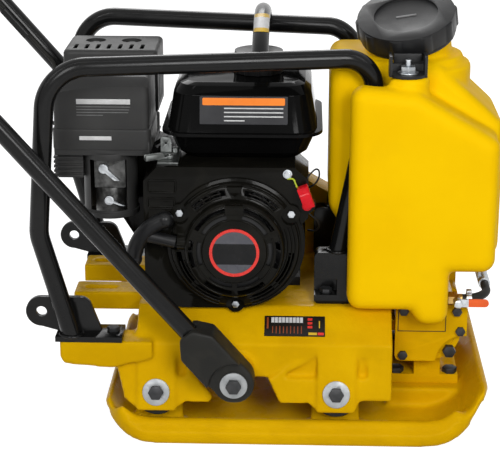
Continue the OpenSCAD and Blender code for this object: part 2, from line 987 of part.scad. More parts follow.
module clutch_pulley() {
  color(castgrey) {
    grooved_pulley(crank, belt_y, clutch_r, crank_d + play);
    difference() {
      crank_bar(belt_y + belt_w / 2 + 4, guard_out_y - guard_t - 3, 2 * clutch_r + 6);
      crank_bar(0, far, crank_d + play);
    }
  }
}

module guard_outline(grow) {
  loop_2d(crank, guard_clutch_r + grow, exciter, guard_pulley_r + grow);
}

module belt_guard_back() {
  color(yellow)
    difference() {
      union() {
        run_y(guard_back_y, guard_back_y + guard_t)
          guard_outline(0);
        for (a = [40, 140, 250])
          bar_y(crank_x + 55 * cos(a), crank_z + 55 * sin(a), engine_y, guard_back_y + eps, 16);
      }
      crank_bar(0, far, 66);
      shaft_bar(0, far, shaft_d + 14);
    }
}

module belt_guard() {
  spread = exciter - crank;
  color(yellow)
    difference() {
      run_y(guard_back_y + guard_t, guard_out_y)
        guard_outline(0);
      run_y(guard_back_y, guard_out_y - guard_t)
        guard_outline(-guard_t);
      for (s = [0.25:0.125:0.75])
        translate([crank_x + s * spread[0], 0, crank_z + s * spread[1]])
          run_y(guard_out_y - guard_t - 1, guard_out_y + 1)
            round_rect(-5, 5, -30, 30, 4.9);
    }
}

module crankcase() {
  color(castgrey)
    difference() {
      union() {
        crank_bar(case_front, engine_y, 2 * case_r);
        block([crank_x - 78, case_front, deck_z + base_flange - eps], [crank_x + 78, engine_y, crank_z]);
        block([crank_x - 95, engine_mid_y - 55, deck_z], [crank_x + 95, engine_mid_y + 55, deck_z + base_flange]);
        on_cylinder()
          block([-46, -46, 30], [46, 46, cyl_foot]);
      }
      crank_bar(-far, far, crank_d + play);
      at_engine_bolts() {
        cylinder(h = far / 2, d = 8.6);
        post(0, 0, deck_z + base_flange, 40, 20);
      }
      bar_x(engine_mid_y + 20, deck_z + 44, crank_x - 90, crank_x - 60, 22 + play);
    }
}

module crankshaft() {
  color(zinc)
    crank_bar(case_front - 72, guard_out_y - guard_t - 2, crank_d);
}

// Radius of the flywheel inside the fan housing
fly_r = fan_r - fan_wall - 8;

module flywheel() {
  fins = 16;
  color(castgrey)
    difference() {
      union() {
        crank_bar(case_front - 34, case_front - 4, 2 * fly_r);
        for (i = [0:fins - 1])
          translate([crank_x, case_front - 34 + eps, crank_z])
            rotate([90, 360 / fins * i, 0])
              translate([fly_r - 34, -2, 0])
                cube([30, 4, 26]);
      }
      crank_bar(-far, far, crank_d + play);
    }
}

// Square plates stacked along the cylinder
module fin_stack(from, to) {
  count = floor((to - from - fin_t) / fin_pitch);
  step = (to - from - fin_t) / count;
  for (i = [0:count])
    translate([-fin_w / 2, -fin_w / 2, from + i * step])
      cube([fin_w, fin_w, fin_t]);
}

module cylinder_barrel() {
  color(castgrey)
    on_cylinder() {
      block([-42, -42, cyl_foot], [42, 42, head_z]);
      fin_stack(cyl_foot + 4, head_z);
    }
}

module cylinder_head() {
  port = [cleaner_rear + 122, muffler_right + 46];
  color(castgrey)
    difference() {
      union() {
        on_cylinder() {
          block([-46, -46, head_z], [46, 46, cover_z]);
          fin_stack(head_z, cover_z);
        }
        post(port[0], port[1], crank_z + 78, muffler_z - 8 - crank_z - 78, 36);
      }
      on_cylinder()
        post(-42, 10, cover_z - 12, 40, 14 + play);
    }
}

module rocker_cover() {
  color(graphite)
    on_cylinder()
      run_z(cover_z, cover_z + 26)
        round_rect(-34, 38, -44, 14, 14);
}

module spark_plug() {
  color(black)
    on_cylinder()
      translate([-42, 10, cover_z - 12]) {
        cylinder(h = 16, d = 14);
        post(0, 0, 13, 30, 20);
      }
}

module oil_filler_plug() {
  color(black) {
    bar_x(engine_mid_y + 20, deck_z + 44, crank_x - 90, crank_x - 62, 22);
    translate([crank_x - 92, engine_mid_y + 20, deck_z + 44])
      rotate([0, 90, 0])
        cylinder(h = 14, d = 34, $fn = 12);
  }
}

// Front view of the fan housing: its scroll, its flat top and its rear flap
module fan_outline(grow) {
  lap = 0.02;
  scroll_r = fan_r - scroll_drop;
  left = fan_left - grow + lap;
  low = crank_z - fan_r - grow + lap;
  translate(crank)
    circle(r = fan_r + grow);
  translate([fan_left + scroll_r, crank_z - scroll_drop])
    circle(r = scroll_r + grow);
  polygon([
    [left, crank_z - scroll_drop], [left, fan_top - 22], [fan_left + 20, fan_top + grow],
    [fan_right - 20, fan_top + grow], [fan_right + grow, fan_top - 18], [fan_right + grow, crank_z + 40],
    [crank_x + 70, crank_z], [crank_x, low], [fan_left + scroll_r, low]
  ]);
}

module fan_housing() {
  color(black)
    difference() {
      union() {
        run_y(fan_front, case_front)
          fan_outline(0);
        bar_y(fan_right - 2, switch_z, fan_front - 6, fan_front + eps, 26);
        block([fan_left, case_front - 2, duct_low], [fan_left + 6, duct_y, duct_top]);
        run_y(duct_y - 2.5, duct_y)
          polygon([
            [fan_left + 6, duct_low], [fan_left + 6, duct_top], [carb_x - 14, duct_top], [carb_x - 14, duct_low + 70],
            [fan_left - 26, duct_low]
          ]);
      }
      run_y(fan_front + fan_wall, case_front - 2)
        intersection() {
          fan_outline(-fan_wall);
          translate([fan_left + 4, 0])
            square([far, far]);
        }
      crank_bar(fan_front - 1, fan_front + fan_wall + 1, 2 * recoil_r + 24);
      crank_bar(case_front - 3, case_front + 1, 2 * case_r - 50);
      for (z = [fan_top - 34, fan_top - 58])
        block([fan_left + 8, fan_front - 1, z - 5], [fan_left + 46, fan_front + fan_wall + 1, z + 5]);
      bar_y(fan_right - 2, switch_z, fan_front - far, fan_front + 8, 8 + play);
      bar_y(carb_x + 10, carb_low + 34, case_front, cyl_y, 32);
      block([carb_x - 6, case_front, carb_low + 34], [carb_x + 26, cyl_y, fan_top]);
      at_cover_bolts()
        bar_y(0, 0, fan_front - 1, fan_front + fan_wall + 1, 6.6);
    }
}

// Where the starter rope leaves the starter cover
rope_x = crank_x - recoil_r - 8;
rope_y = fan_front - 17;
rope_z = crank_z + 6;

// The starter cover's three bolts
module at_cover_bolts() {
  for (a = [30, 150, 270])
    translate([crank_x, 0, crank_z] + (recoil_r + 18) * [cos(a), 0, sin(a)])
      children();
}

// Angles that the starter cover's slots run over, on its face and on its rim
cover_spans = [[30, 78], [102, 150], [165, 203], [228, 266], [274, 312], [337, 375]];
rim_spans = [[44, 80], [100, 136], [186, 222], [228, 252], [288, 312], [318, 354]];

// A ring sector on the starter cover's axis, over a span of angles and depths
module cover_sector(r0, r1, from, to, near, deep) {
  translate([crank_x, fan_front - near, crank_z])
    rotate([90, 0, 0])
      rotate([0, 0, from])
        rotate_extrude(angle = to - from)
          translate([r0, 0])
            square([r1 - r0, deep - near]);
}

// A revolved body on the starter cover's axis
module cover_turned(pts) {
  translate([crank_x, fan_front, crank_z])
    rotate([90, 0, 0])
      rotate_extrude()
        polygon(pts);
}

module recoil_cover() {
  flange_t = 4;
  r = recoil_r;
  rim = recoil_r + 24;
  dome = recoil_depth - flange_t;
  color(black)
    difference() {
      union() {
        cover_turned([
          [rim - 6, 0], [rim, 0], [rim, flange_t], [rim - 4, flange_t + 1], [rim - 7, 13], [rim - 10, 15.5],
          [r, 18.5], [r - 2.5, 20], [r - 3.5, dome - 6], [r - 6.5, dome - 1.5], [r - 9, dome],
          [48, dome + 0.5], [46, recoil_depth], [0, recoil_depth], [0, dome - 3], [r - 10, dome - 3],
          [r - 7.5, dome - 4.5], [r - 6.5, dome - 6.5], [r - 5.7, 17.5], [r - 4, 16], [rim - 11.5, 12.8],
          [rim - 9.5, 10.5], [rim - 7.7, flange_t + 0.5]
        ]);
        intersection() {
          cover_turned([
            [r - 5, 0], [rim, 0], [rim, flange_t], [rim - 4, flange_t + 1], [rim - 7, 13],
            [rim - 10, 15.5], [r, 18.5], [r - 5, 18.5]
          ]);
          union() {
            at_cover_bolts()
              bar_y(0, 0, fan_front - 30, fan_front, 34);
            block([crank_x - rim - 4, fan_front - 30, rope_z - 17], [crank_x - r + 8, fan_front, rope_z + 17]);
          }
        }
        at_cover_bolts()
          bar_y(0, 0, fan_front - flange_t, fan_front, 26);
        crank_bar(fan_front - dome - 1, fan_front - 5, 12 - play);
        bar_x(rope_y, rope_z, rope_x, crank_x - r + 12, 22);
        run_y(fan_front - 22, fan_front - 12)
          translate(crank)
            polygon([[-11, rim - 8], [11, rim - 8], [8, r + 8], [0, r + 2], [-8, r + 8]]);
        block([crank_x - 13, fan_front - dome - 2.5, crank_z + 57],
              [crank_x + 13, fan_front - dome + 2, crank_z + r - 6]);
      }
      at_cover_bolts() {
        bar_y(0, 0, -far, 0, 6.6);
        bar_y(0, 0, fan_front - far, fan_front - flange_t, 28);
      }
      block([crank_x - rim - 20, fan_front - far, rope_z - 12],
            [rope_x, fan_front - flange_t - 1, rope_z + 12]);
      for (span = cover_spans, ring = [[49.5, 55.5], [60.5, 67]])
        cover_sector(ring[0], ring[1], span[0], span[1], dome - 8, recoil_depth - 2);
      for (span = rim_spans)
        cover_sector(r + 3, r + 11, span[0], span[1], 10, 24);
      bar_x(rope_y, rope_z, rope_x - 1, crank_x - 60, 8);
    }
}

module recoil_bolts() {
  color(zinc)
    at_cover_bolts()
      translate([0, fan_front - 4, 0])
        rotate([90, 0, 0])
          hex_bolt(6, 4 + fan_wall + 3);
}

module starter_reel() {
  color(graphite)
    difference() {
      union() {
        crank_bar(fan_front - recoil_depth + 8, fan_front - 6, 100);
        crank_bar(fan_front - recoil_depth + 8, fan_front - recoil_depth + 11, 112);
        crank_bar(fan_front - 9, fan_front - 6, 112);
      }
      crank_bar(-far, far, 12);
    }
}

// The pull grip: a curved bar across a short stem
grip_at = [crank_x - 134, rope_y, crank_z + 17];
grip_r = 70;
grip_d = 24;
grip_turn = 142;
grip_half = 33;

module starter_grip() {
  centre = grip_at - grip_r * [cos(grip_turn), 0, sin(grip_turn)];
  color(black) {
    translate(centre)
      rotate([90, 0, 0]) {
        rotate([0, 0, grip_turn - grip_half])
          rotate_extrude(angle = 2 * grip_half)
            translate([grip_r, 0])
              circle(d = grip_d);
        for (a = [grip_turn - grip_half, grip_turn + grip_half])
          rotate([0, 0, a])
            translate([grip_r, 0, 0])
              sphere(d = grip_d + 1.4);
      }
    rod(grip_at, [rope_x - 3, rope_y, rope_z], 18);
  }
}

module engine_switch() {
  color(red)
    translate([fan_right - 2, fan_front - 6, switch_z])
      rotate([90, 0, 0]) {
        post(0, 0, -10, 11, 8);
        post(0, 0, move_gap, 9, 22);
        translate([-4, -12, move_gap])
          cube([8, 24, 15]);
      }
}

// A slab with round corners, used to shape the fuel tank
module tank_slab(z, set_in, r) {
  translate([0, 0, z])
    linear_extrude(height = 0.5)
      round_rect(tank_rear + set_in, tank_front - set_in, tank_right + set_in, tank_left - set_in, r);
}

module fuel_tank() {
  color(black)
    difference() {
      union() {
        run_z(seam_z - 2, seam_z + 3)
          round_rect(tank_rear, tank_front, tank_right, tank_left, 40);
        hull($fn = 32) {
          tank_slab(seam_z, 8, 36);
          tank_slab(tank_top - 16, 17, 34);
          tank_slab(tank_top - 4, 26, 30);
          tank_slab(tank_top - 0.5, 36, 24);
        }
        hull($fn = 32) {
          tank_slab(seam_z - 1, 10, 34);
          tank_slab(fan_top + 10, 22, 30);
          tank_slab(fan_top, 34, 24);
        }
        post(filler[0], filler[1], tank_top - 2, 20, fuel_cap_d - 18);
      }
      hull($fn = 32) {
        tank_slab(seam_z - 4, 14, 30);
        tank_slab(tank_top - 18, 23, 28);
        tank_slab(tank_top - 6, 38, 20);
      }
      hull($fn = 32) {
        tank_slab(seam_z - 4, 16, 30);
        tank_slab(fan_top + 4, 40, 20);
      }
      post(filler[0], filler[1], seam_z, far, fuel_cap_d - 26);
    }
}

module fuel_cap() {
  low = tank_top + 1;
  color(black)
    translate([filler[0], filler[1], low])
      difference() {
        union() {
          cylinder(h = 32, d = fuel_cap_d);
          for (i = [0:11])
            rotate([0, 0, 30 * i])
              post(fuel_cap_d / 2 - 1, 0, 0, 27, 6);
        }
        post(0, 0, -1, 18 + move_gap, fuel_cap_d - 18 + 2 * move_gap);
      }
}

// Radius of the shroud around the carburettor
shroud_r = 40;

module air_cleaner_base() {
  rib_x = cleaner_rear - 3;
  color(graphite) {
    block([cleaner_rear, cleaner_right, cleaner_low], [cleaner_front, cleaner_left, cleaner_top]);
    block([cleaner_rear + 3, cleaner_right + 12, cleaner_low - 38],
          [carb_x - 38, cleaner_right + 58, cleaner_low + 2]);
    for (i = [0:4])
      block([rib_x, cleaner_right + 9, cleaner_low - 36 + 7 * i],
            [carb_x - 37.5, cleaner_right + 61, cleaner_low - 33 + 7 * i]);
    difference() {
      union() {
        translate([carb_x, carb_y, carb_low - 28])
          cylinder(h = cleaner_low - carb_low + 30, r = shroud_r);
        translate([carb_x, carb_y, carb_low - 28])
          cylinder(h = 8, r = shroud_r + 2);
      }
      translate([carb_x, carb_y, carb_low - 30])
        cylinder(h = cleaner_low - carb_low + 30, r = shroud_r - 3);
      block([carb_x - 27, carb_y - far, carb_low - 18], [carb_x + 27, carb_y, cleaner_low - 8]);
      bar_y(carb_x + 10, carb_low + 34, carb_y, carb_y + 80, 32);
    }
  }
}

module air_filter() {
  color([0.85, 0.82, 0.7])
    run_z(cleaner_top, cleaner_top + 68)
      round_rect(cleaner_rear + 22, cleaner_front - 22, cleaner_right + 20, cleaner_left - 20, 12);
}

// Side view of the air cleaner's cover, from its right face to its left
module cleaner_section(set_in) {
  top = cleaner_top + cleaner_h - set_in;
  polygon([
    [cleaner_right + set_in, cleaner_top - (set_in > 0 ? 1 : 0)],
    [cleaner_right + set_in, top - 18],
    [cleaner_right + 22, top],
    [cleaner_left - 12, top],
    [cleaner_left - set_in, top - 12],
    [cleaner_left - set_in, cleaner_top - (set_in > 0 ? 1 : 0)]
  ]);
}

module air_cleaner_cover() {
  wall = 3;
  color(graphite)
    difference() {
      union() {
        run_x(cleaner_rear, cleaner_front)
          cleaner_section(0);
        block([cleaner_rear + 6, cleaner_right - 2, cleaner_top + 2],
              [cleaner_front - 6, cleaner_right + eps, cleaner_top + 14]);
      }
      run_x(cleaner_rear + wall, cleaner_front - wall)
        cleaner_section(wall);
    }
}

module carburettor() {
  color(castgrey)
    difference() {
      union() {
        block([carb_x - 22, carb_y - 20, carb_low + 14], [carb_x + 24, carb_y + 22, cleaner_low - 10]);
        post(carb_x, carb_y, cleaner_low - 10 - eps, 10 + eps, 36);
        post(carb_x, carb_y, carb_low - 30, 44 + eps, 46);
        bar_y(carb_x + 10, carb_low + 34, carb_y + 22 - eps, cyl_y - 46, 28);
      }
      bar_y(carb_x - 8, cleaner_low - 24, carb_y - 21, carb_y, 6 + play);
      bar_y(carb_x, carb_low - 4, carb_y - 24, carb_y - 8, 6 + play);
    }
}

// A small lever in front of a face, turning about Y
module small_lever(x, z, face, reach, drop) {
  bar_y(x, z, face - 6, face + 12, 6);
  bar_y(x, z, face - 6, face - move_gap, 14);
  run_y(face - 6, face - 2)
    polygon([[x - 5, z], [x + 5, z], [x + reach + 4, z + drop], [x + reach - 4, z + drop]]);
}

module choke_lever() {
  color(zinc)
    small_lever(carb_x - 8, cleaner_low - 24, carb_y - 20, 20, -18);
}

module fuel_tap() {
  color(zinc)
    small_lever(carb_x, carb_low - 4, carb_y - 23, 20, -8);
}

// Pivot of the speed lever on top of the fan housing
arm_pivot = [fan_left + 36, fan_front + 36];
// The stop that ends the throttle cable's sleeve
stop_x = fan_left + 28;
stop_y = fan_front + 70;
stop_z = fan_top + 16;

module control_plate() {
  color(zinc)
    difference() {
      union() {
        block([fan_left + 20, fan_front + 12, fan_top], [fan_left + 50, stop_y + 12, fan_top + 3]);
        block([fan_left + 20, stop_y, fan_top], [fan_left + 36, stop_y + 3, stop_z + 9]);
        translate([fan_left + 42, stop_y + 2, fan_top + 3 - eps])
          cylinder(h = 6, d = 12, $fn = 6);
      }
      post(arm_pivot[0], arm_pivot[1], fan_top - 1, 10, 6 + play);
      bar_y(stop_x, stop_z, stop_y - 1, stop_y + 4, 3);
    }
}

module throttle_arm() {
  low = fan_top + 3 + move_gap;
  color(zinc)
    translate([arm_pivot[0], arm_pivot[1], 0]) {
      post(0, 0, fan_top + 0.5, 9, 6);
      post(0, 0, low, 5, 15);
      rotate([0, 0, 205]) {
        translate([0, -5, low])
          cube([38, 10, 3]);
        for (y = [-5, 3])
          translate([10, y, low])
            cube([28, 2, 8]);
      }
    }
}

module muffler() {
  port = [cleaner_rear + 122, muffler_right + 46];
  color(castgrey) {
    run_x(cleaner_rear + 14, cleaner_front - 12)
      round_rect(muffler_right + 12, muffler_left - 14, muffler_z, muffler_z + 76, 24);
    post(port[0], port[1], muffler_z - 8, 9, 30);
    bar_y(cleaner_rear + 40, muffler_z + 40, muffler_left - 15, muffler_left + 8, 22);
  }
}

module muffler_guard() {
  wall = 2.5;
  top = muffler_z + muffler_h + 1;
  low = muffler_z + 6;
  color(graphite)
    difference() {
      union() {
        difference() {
          run_z(low, top)
            round_rect(cleaner_rear - 2, cleaner_front + 2, muffler_right, muffler_left, 10);
          run_z(low - 1, top - wall)
            round_rect(cleaner_rear - 2 + wall, cleaner_front + 2 - wall, muffler_right + wall,
                       muffler_left - wall, 8);
        }
        for (x = [[cleaner_rear - 1, cleaner_rear + 14], [cleaner_front - 12, cleaner_front + 1]])
          block([x[0], muffler_right + 50, muffler_z + 30], [x[1], muffler_right + 66, muffler_z + 46]);
        for (x = [cleaner_rear + 40, cleaner_rear + 96])
          post(x, muffler_right + 74, top - 11, 10, 36);
      }
      for (i = [0:6])
        run_z(top - 10, top + 1)
          round_rect(cleaner_rear + 12 + 17 * i, cleaner_rear + 18 + 17 * i, muffler_right + 12,
                     muffler_right + 44, 2.9);
      for (x = [cleaner_rear + 40, cleaner_rear + 96])
        translate([x, muffler_right + 74, top - 8])
          difference() {
            cylinder(h = 20, d = 31);
            translate([0, 0, -1])
              cylinder(h = 6, d = 13, $fn = 6);
          }
      bar_y(cleaner_rear + 40, muffler_z + 40, muffler_left - 6, far, 34);
      for (i = [0:4])
        block([cleaner_front - 1, muffler_right + 22 + 16 * i, muffler_z + 14],
              [cleaner_front + 4, muffler_right + 30 + 16 * i, muffler_z + 62]);
    }
}

module roll_frame(pts) {
  difference() {
    bent_bar(pts, [60, rear_bend, front_bend], tube_d);
    block([-far, -far, 0], [-150, 0, foot_top]);
    block([0, -far, 0], [far, 0, front_foot_z]);
  }
}

module roll_frame_right() {
  color(black)
    roll_frame(frame_pts);
}

module roll_frame_left() {
  color(black)
    mirror([0, 1, 0])
      roll_frame(left_pts);
}

// The arch springs from the tops of the two rails
module lifting_arch() {
  right = -rail_y(frame_pts, arch_x);
  left = -rail_y(left_pts, arch_x);
  half = (left + right) / 2;
  arch_r = (half * half + arch_rise * arch_rise) / (2 * arch_rise);
  sweep = asin(half / arch_r);
  color(black)
    difference() {
      translate([arch_x, (left - right) / 2, rail_z + arch_rise - arch_r])
        rotate([90, 0, 90])
          rotate([0, 0, 90 - sweep])
            rotate_extrude(angle = 2 * sweep)
              translate([arch_r, 0])
                circle(d = tube_d - 4);
      rod(frame_pts[2], frame_pts[3], tube_d + 0.02);
      mirror([0, 1, 0])
        rod(left_pts[2], left_pts[3], tube_d + 0.02);
    }
}

// A rear foot: its plate and the lug that a rope or pin ties to
module rear_foot() {
  difference() {
    block([foot_x - 22, -skirt_half - 14, arm_top], [foot_x + 76, -skirt_half + 38, foot_top]);
    post(foot_x + 61, -skirt_half + 14, 0, far, 10.6);
  }
  run_y(-rear_half + tube_d / 2 + 1, -rear_half + tube_d / 2 + 9)
    difference() {
      union() {
        translate([lug_x, lug_z])
          circle(r = lug_bore / 2 + 15);
        translate([foot_x + 12, lug_top - 18])
          circle(r = 18);
        polygon([
          [lug_x, lug_top], [foot_x + 12, lug_top - 0.02],
          [foot_x + 11.98 + 18 * cos(20), lug_top - 18 + 18 * sin(20)],
          [foot_x + 44, foot_top - 1], [foot_x - 20, foot_top - 1], [lug_x, lug_z - lug_bore / 2 - 15]
        ]);
      }
      translate([lug_x, lug_z])
        circle(d = lug_bore);
    }
}

// A front foot: the block that the leg stands on, bolted to the deck
module front_foot() {
  difference() {
    run_y(-front_half - 14, -front_half + 14) {
      round_rect(leg_low[0] - 30, leg_low[0] + 26, deck_z + 20, front_foot_z, 8);
      round_rect(leg_low[0] - 30, leg_low[0] + 26, deck_z, deck_z + 60, 8);
    }
    post(leg_low[0] - 12, -front_half, 0, far, 10.6);
    block([leg_low[0] - 40, -front_half - 20, deck_z + 14],
          [leg_low[0] + 4, -front_half + 11, deck_z + 40]);
  }
}

module frame_feet() {
  color(black)
    both_sides() {
      rear_foot();
      front_foot();
    }
}

// A rounded body between two corners, drawn as a hull of balls
module soft_block(pts, y0, y1, r) {
  hull()
    for (p = pts, y = [y0 + r, y1 - r])
      translate([p[0], y, p[1]])
        sphere(r = r, $fn = 24);
}

module water_tank() {
  r = water_r;
  slope_x = exciter_x - 40;
  lobe = [
    [lobe_rear + r, water_under + r], [lobe_rear + r, shoulder_z - r], [slope_x, shoulder_z - r - 6],
    [water_front - r - 12, shoulder_z - 70 - r], [water_front - r - 12, water_under + r]
  ];
  lower = [
    [lobe_rear + r, deck_z + 3 + r], [lobe_rear + r, water_under + 60], [sump_front - r, water_under + 60],
    [sump_front - r, deck_z + 3 + r]
  ];
  sump = [
    [sump_front - 70 + r, deck_z + 30], [sump_front - 52 + r, sump_z + r], [sump_front - r, sump_z + r],
    [sump_front - r, deck_z + 30]
  ];
  middle = [
    [water_rear + r, deck_z + 125 + r], [water_rear + r, water_top - r], [slope_x + 30, water_top - r],
    [water_front - r, shoulder_z - 60 - r], [water_front - r, water_under + r],
    [lobe_rear + 10 + r, water_under + r]
  ];
  color(yellow)
    difference() {
      union() {
        soft_block(lobe, -water_half, 0, r);
        soft_block(lobe, 0, water_half, r);
        soft_block(lower, -water_half, guard_back_y - 14, r);
        soft_block(sump, -water_half, -exciter_half - cover_t - 8, r);
        soft_block(middle, -groove_left, groove_left, r);
        block([lobe_rear + 14, -groove_left + 20, deck_z], [bed_front - 4, groove_left - 20, deck_z + 40]);
        for (step = [[28, 11], [16, 23]])
          translate([neck_base[0], neck_base[1], shoulder_z - 20])
            cylinder(h = neck_base[2] - shoulder_z + step[1], r = neck_r + step[0]);
        on_neck()
          translate([0, 0, -20])
            cylinder(h = neck_len + 20, r = neck_r);
        translate([boss_at[0], boss_at[1] + 4, shoulder_z - 40])
          cylinder(h = boss_top - shoulder_z + 40, r = strap_half + 5);
      }
      both_sides()
        run_y(-groove_right, -groove_left)
          polygon([
            [0, 0], [leg_low[0] + 48, 0], [leg_low[0] + 48, front_foot_z + 10],
            [leg_top[0] + 36, rail_z - 40], [leg_top[0] + 36, far + 200], [0, far + 200]
          ]);
      run_y(guard_back_y - 8, far)
        loop_2d(crank, guard_clutch_r + guard_slot, exciter, guard_pulley_r + guard_slot);
      run_y(-groove_left + water_wall, groove_left - water_wall)
        polygon([
          [lobe_rear + 10 + water_wall, deck_z + 130 + water_wall],
          [lobe_rear + 10 + water_wall, water_top - water_wall],
          [slope_x + 10, water_top - water_wall],
          [water_front - r - water_wall, shoulder_z - 74 - water_wall],
          [water_front - r - water_wall, water_under + water_wall],
          [sump_front - r - water_wall, water_under + water_wall],
          [sump_front - r - water_wall, deck_z + 3 + water_wall],
          [lobe_rear + 10 + water_wall, deck_z + 3 + water_wall]
        ]);
      on_neck()
        translate([0, 0, -60])
          cylinder(h = far, r = neck_r - neck_wall);
      bar_x(tap_y, tap_z, sump_front - 14, far, 14 + play);
      post(boss_at[0], boss_at[1], boss_top - 20, 60, 10.6);
    }
}

module water_cap() {
  lobes = 10;
  color(black)
    on_neck()
      translate([0, 0, cap_from])
        difference() {
          union() {
            cylinder(h = cap_h, r = cap_r - 3);
            for (i = [0:lobes - 1])
              rotate([0, 0, 360 / lobes * i])
                translate([cap_r - 14, 0, 0])
                  cylinder(h = cap_h - 2, r = 14);
          }
          translate([0, 0, -1])
            cylinder(h = neck_len - cap_from + 1 + move_gap, r = neck_r + move_gap);
          translate([0, 0, cap_h - 4])
            cylinder(h = 10, r = cap_r - 28);
        }
}

module cap_strap() {
  ring_z = cap_from - 6;
  color(black) {
    on_neck()
      translate([0, 0, ring_z])
        difference() {
          union() {
            cylinder(h = 4, r = neck_r + 8);
            translate([-20, -neck_r - 26, 0])
              cube([40, 30, 4]);
          }
          translate([0, 0, -1])
            cylinder(h = 6, r = neck_r + move_gap);
        }
    difference() {
      union() {
        block([boss_at[0] - strap_half, boss_at[1] - 10, boss_top],
              [boss_at[0] + strap_half, boss_at[1] + 22, boss_top + 4]);
        intersection() {
          translate([boss_at[0], boss_at[1] + 4, boss_top])
            cylinder(h = 4, r = strap_half + 0.5);
          block([0, -far, 0], [far, boss_at[1] + 22, far]);
        }
        block([boss_at[0] - strap_half, boss_at[1] + 17, boss_top],
              [boss_at[0] + strap_half, boss_at[1] + 22, boss_top + 14]);
        for (x = [-strap_half, strap_half - 4])
          block([boss_at[0] + x, boss_at[1] - 10, boss_top], [boss_at[0] + x + 4, boss_at[1] + 22, boss_top + 30]);
      }
      post(boss_at[0], boss_at[1], 0, 2 * far, 10.6);
    }
    translate([boss_at[0], boss_at[1], boss_top + 4])
      hex_bolt(10, 18);
  }
}

module water_tap() {
  color(brass)
    difference() {
      union() {
        bar_x(tap_y, tap_z, sump_front - 12, tap_end, 14);
        translate([sump_front + 3, tap_y, tap_z])
          rotate([0, 90, 0])
            cylinder(h = 12, d = 21, $fn = 6);
        bar_y(sump_front + 16, tap_z, tap_y - 15, tap_y, 12);
      }
      bar_y(sump_front + 16, tap_z, tap_y - 20, tap_y - 8, 5 + play);
    }
}

module tap_lever() {
  face = tap_y - 15;
  x = sump_front + 16;
  color(orange) {
    bar_y(x, tap_z, face - 9, face + 6, 5);
    bar_y(x, tap_z, face - 7, face - move_gap, 13);
    run_y(face - 6, face - 3)
      round_rect(x - 6, x + 46, tap_z - 6, tap_z + 6, 5.9);
  }
}

hose_pts = [
  [tap_end, tap_y, tap_z],
  [pipe_x, tap_y, tap_z],
  [pipe_x, tap_y + hose_bend + 24, tap_z]
];

module water_hose() {
  color(rubber)
    bent_bar(hose_pts, [hose_bend - eps], hose_d);
}

module sprinkler_pipe() {
  half = water_half - 20;
  from = tap_y + hose_bend + 24;
  color(zinc)
    difference() {
      union() {
        bar_y(pipe_x, tap_z, from, half, 18);
        for (y = [from + 20, half - 20])
          block([pipe_x - 9, y - 8, tap_z], [pipe_x - 5, y + 8, water_under + 12]);
      }
      for (y = [from + 34:16:half - 30])
        rod([pipe_x, y, tap_z], [pipe_x, y, tap_z - 20], 3);
      block([0, -far, water_under - 0.2], [far, far, far]);
    }
}

// Stands its child on the handle's crossbar, with X forwards along the rear run
module on_grip() {
  translate(grip_end)
    rotate([0, grip_angle, 0])
      children();
}

// The throttle lever's bracket: its place across the handle and its pin's height
bracket_y = arm_half - 130;
bracket_w = 16;
lever_z = tube_d / 2 + 22;
lever_pin = 8;

module handle_frame() {
  right = [0, -arm_half, 0];
  left = [0, arm_half, 0];
  seat = pivot + arm_seat * arm_dir;
  color(black)
    difference() {
      union() {
        bent_bar([
          seat + right, arm_bend + right, grip_end + right,
          grip_end + left, arm_bend + left, seat + left
        ], [90, 60, 60, 90], tube_d);
        translate(left)
          on_arm()
            block([-4, -38, clip_at - 28], [4, 0, clip_at + 28]);
        on_grip()
          block([-13, bracket_y - bracket_w / 2, 0], [13, bracket_y + bracket_w / 2, lever_z + 12]);
      }
      on_grip()
        bar_y(0, lever_z, bracket_y - 30, bracket_y + 30, lever_pin + play);
    }
}

// Side view of a boot about its pivot, up the arm
module boot_outline(half) {
  circle(r = half);
  polygon([[-half, 0], [half, 0], [half, boot_len - 24], [half - 18, boot_len],
           [-half + 18, boot_len], [-half, boot_len - 24]]);
}

module handle_boots() {
  color(rubber)
    both_sides()
      on_arm()
        difference() {
          union() {
            run_y(-boot_out + 12, -boot_in)
              boot_outline(boot_w / 2);
            run_y(-boot_out, -boot_out + 12 + eps)
              difference() {
                boot_outline(boot_w / 2);
                circle(r = boot_w / 2 + 6);
              }
          }
          bar_y(0, 0, -far, 0, buffer_bolt_d + play);
          post(0, -arm_half, arm_seat, far, tube_d + play);
        }
}

module handle_grip() {
  run = arm_half - 70;
  color(rubber)
    difference() {
      bar_y(grip_end[0], grip_end[2], -run, run - 90, tube_d + 8);
      bar_y(grip_end[0], grip_end[2], -far, far, tube_d + play);
    }
}

module throttle_lever() {
  out = bracket_y + bracket_w / 2 + move_gap;
  color(red)
    on_grip() {
      bar_y(0, lever_z, bracket_y - bracket_w / 2 - 2, out + 6, lever_pin);
      bar_y(0, lever_z, out, out + 6, 22);
      run_y(out, out + 6)
        polygon([[-9, lever_z], [9, lever_z], [-24, lever_z + 70], [-38, lever_z + 70]]);
      bar_y(-31, lever_z + 70, out - 4, out + 10, 20);
    }
}

// Route of the throttle cable's upper run: from its bracket to the clip on the left arm
cable_d = 6;
cable_y = arm_half - tube_d / 2 - cable_d / 2 - 0.4;
run_fwd = -grip_dir;
run_up = [sin(grip_angle), 0, cos(grip_angle)];
upper_pts = [
  grip_end + [0, bracket_y, 0] + 13 * run_fwd + (tube_d / 2 + 12) * run_up,
  grip_end + [0, bracket_y, 0] + 70 * run_fwd + (tube_d / 2 + 12) * run_up,
  grip_end + [0, cable_y, 0] + 150 * run_fwd,
  arm_bend + [0, cable_y, 0],
  pivot + [0, cable_y, 0] + (clip_at + 28) * arm_dir
];

module throttle_cable_upper() {
  color(rubber)
    bent_bar(upper_pts, [30, 30, 90], cable_d);
}

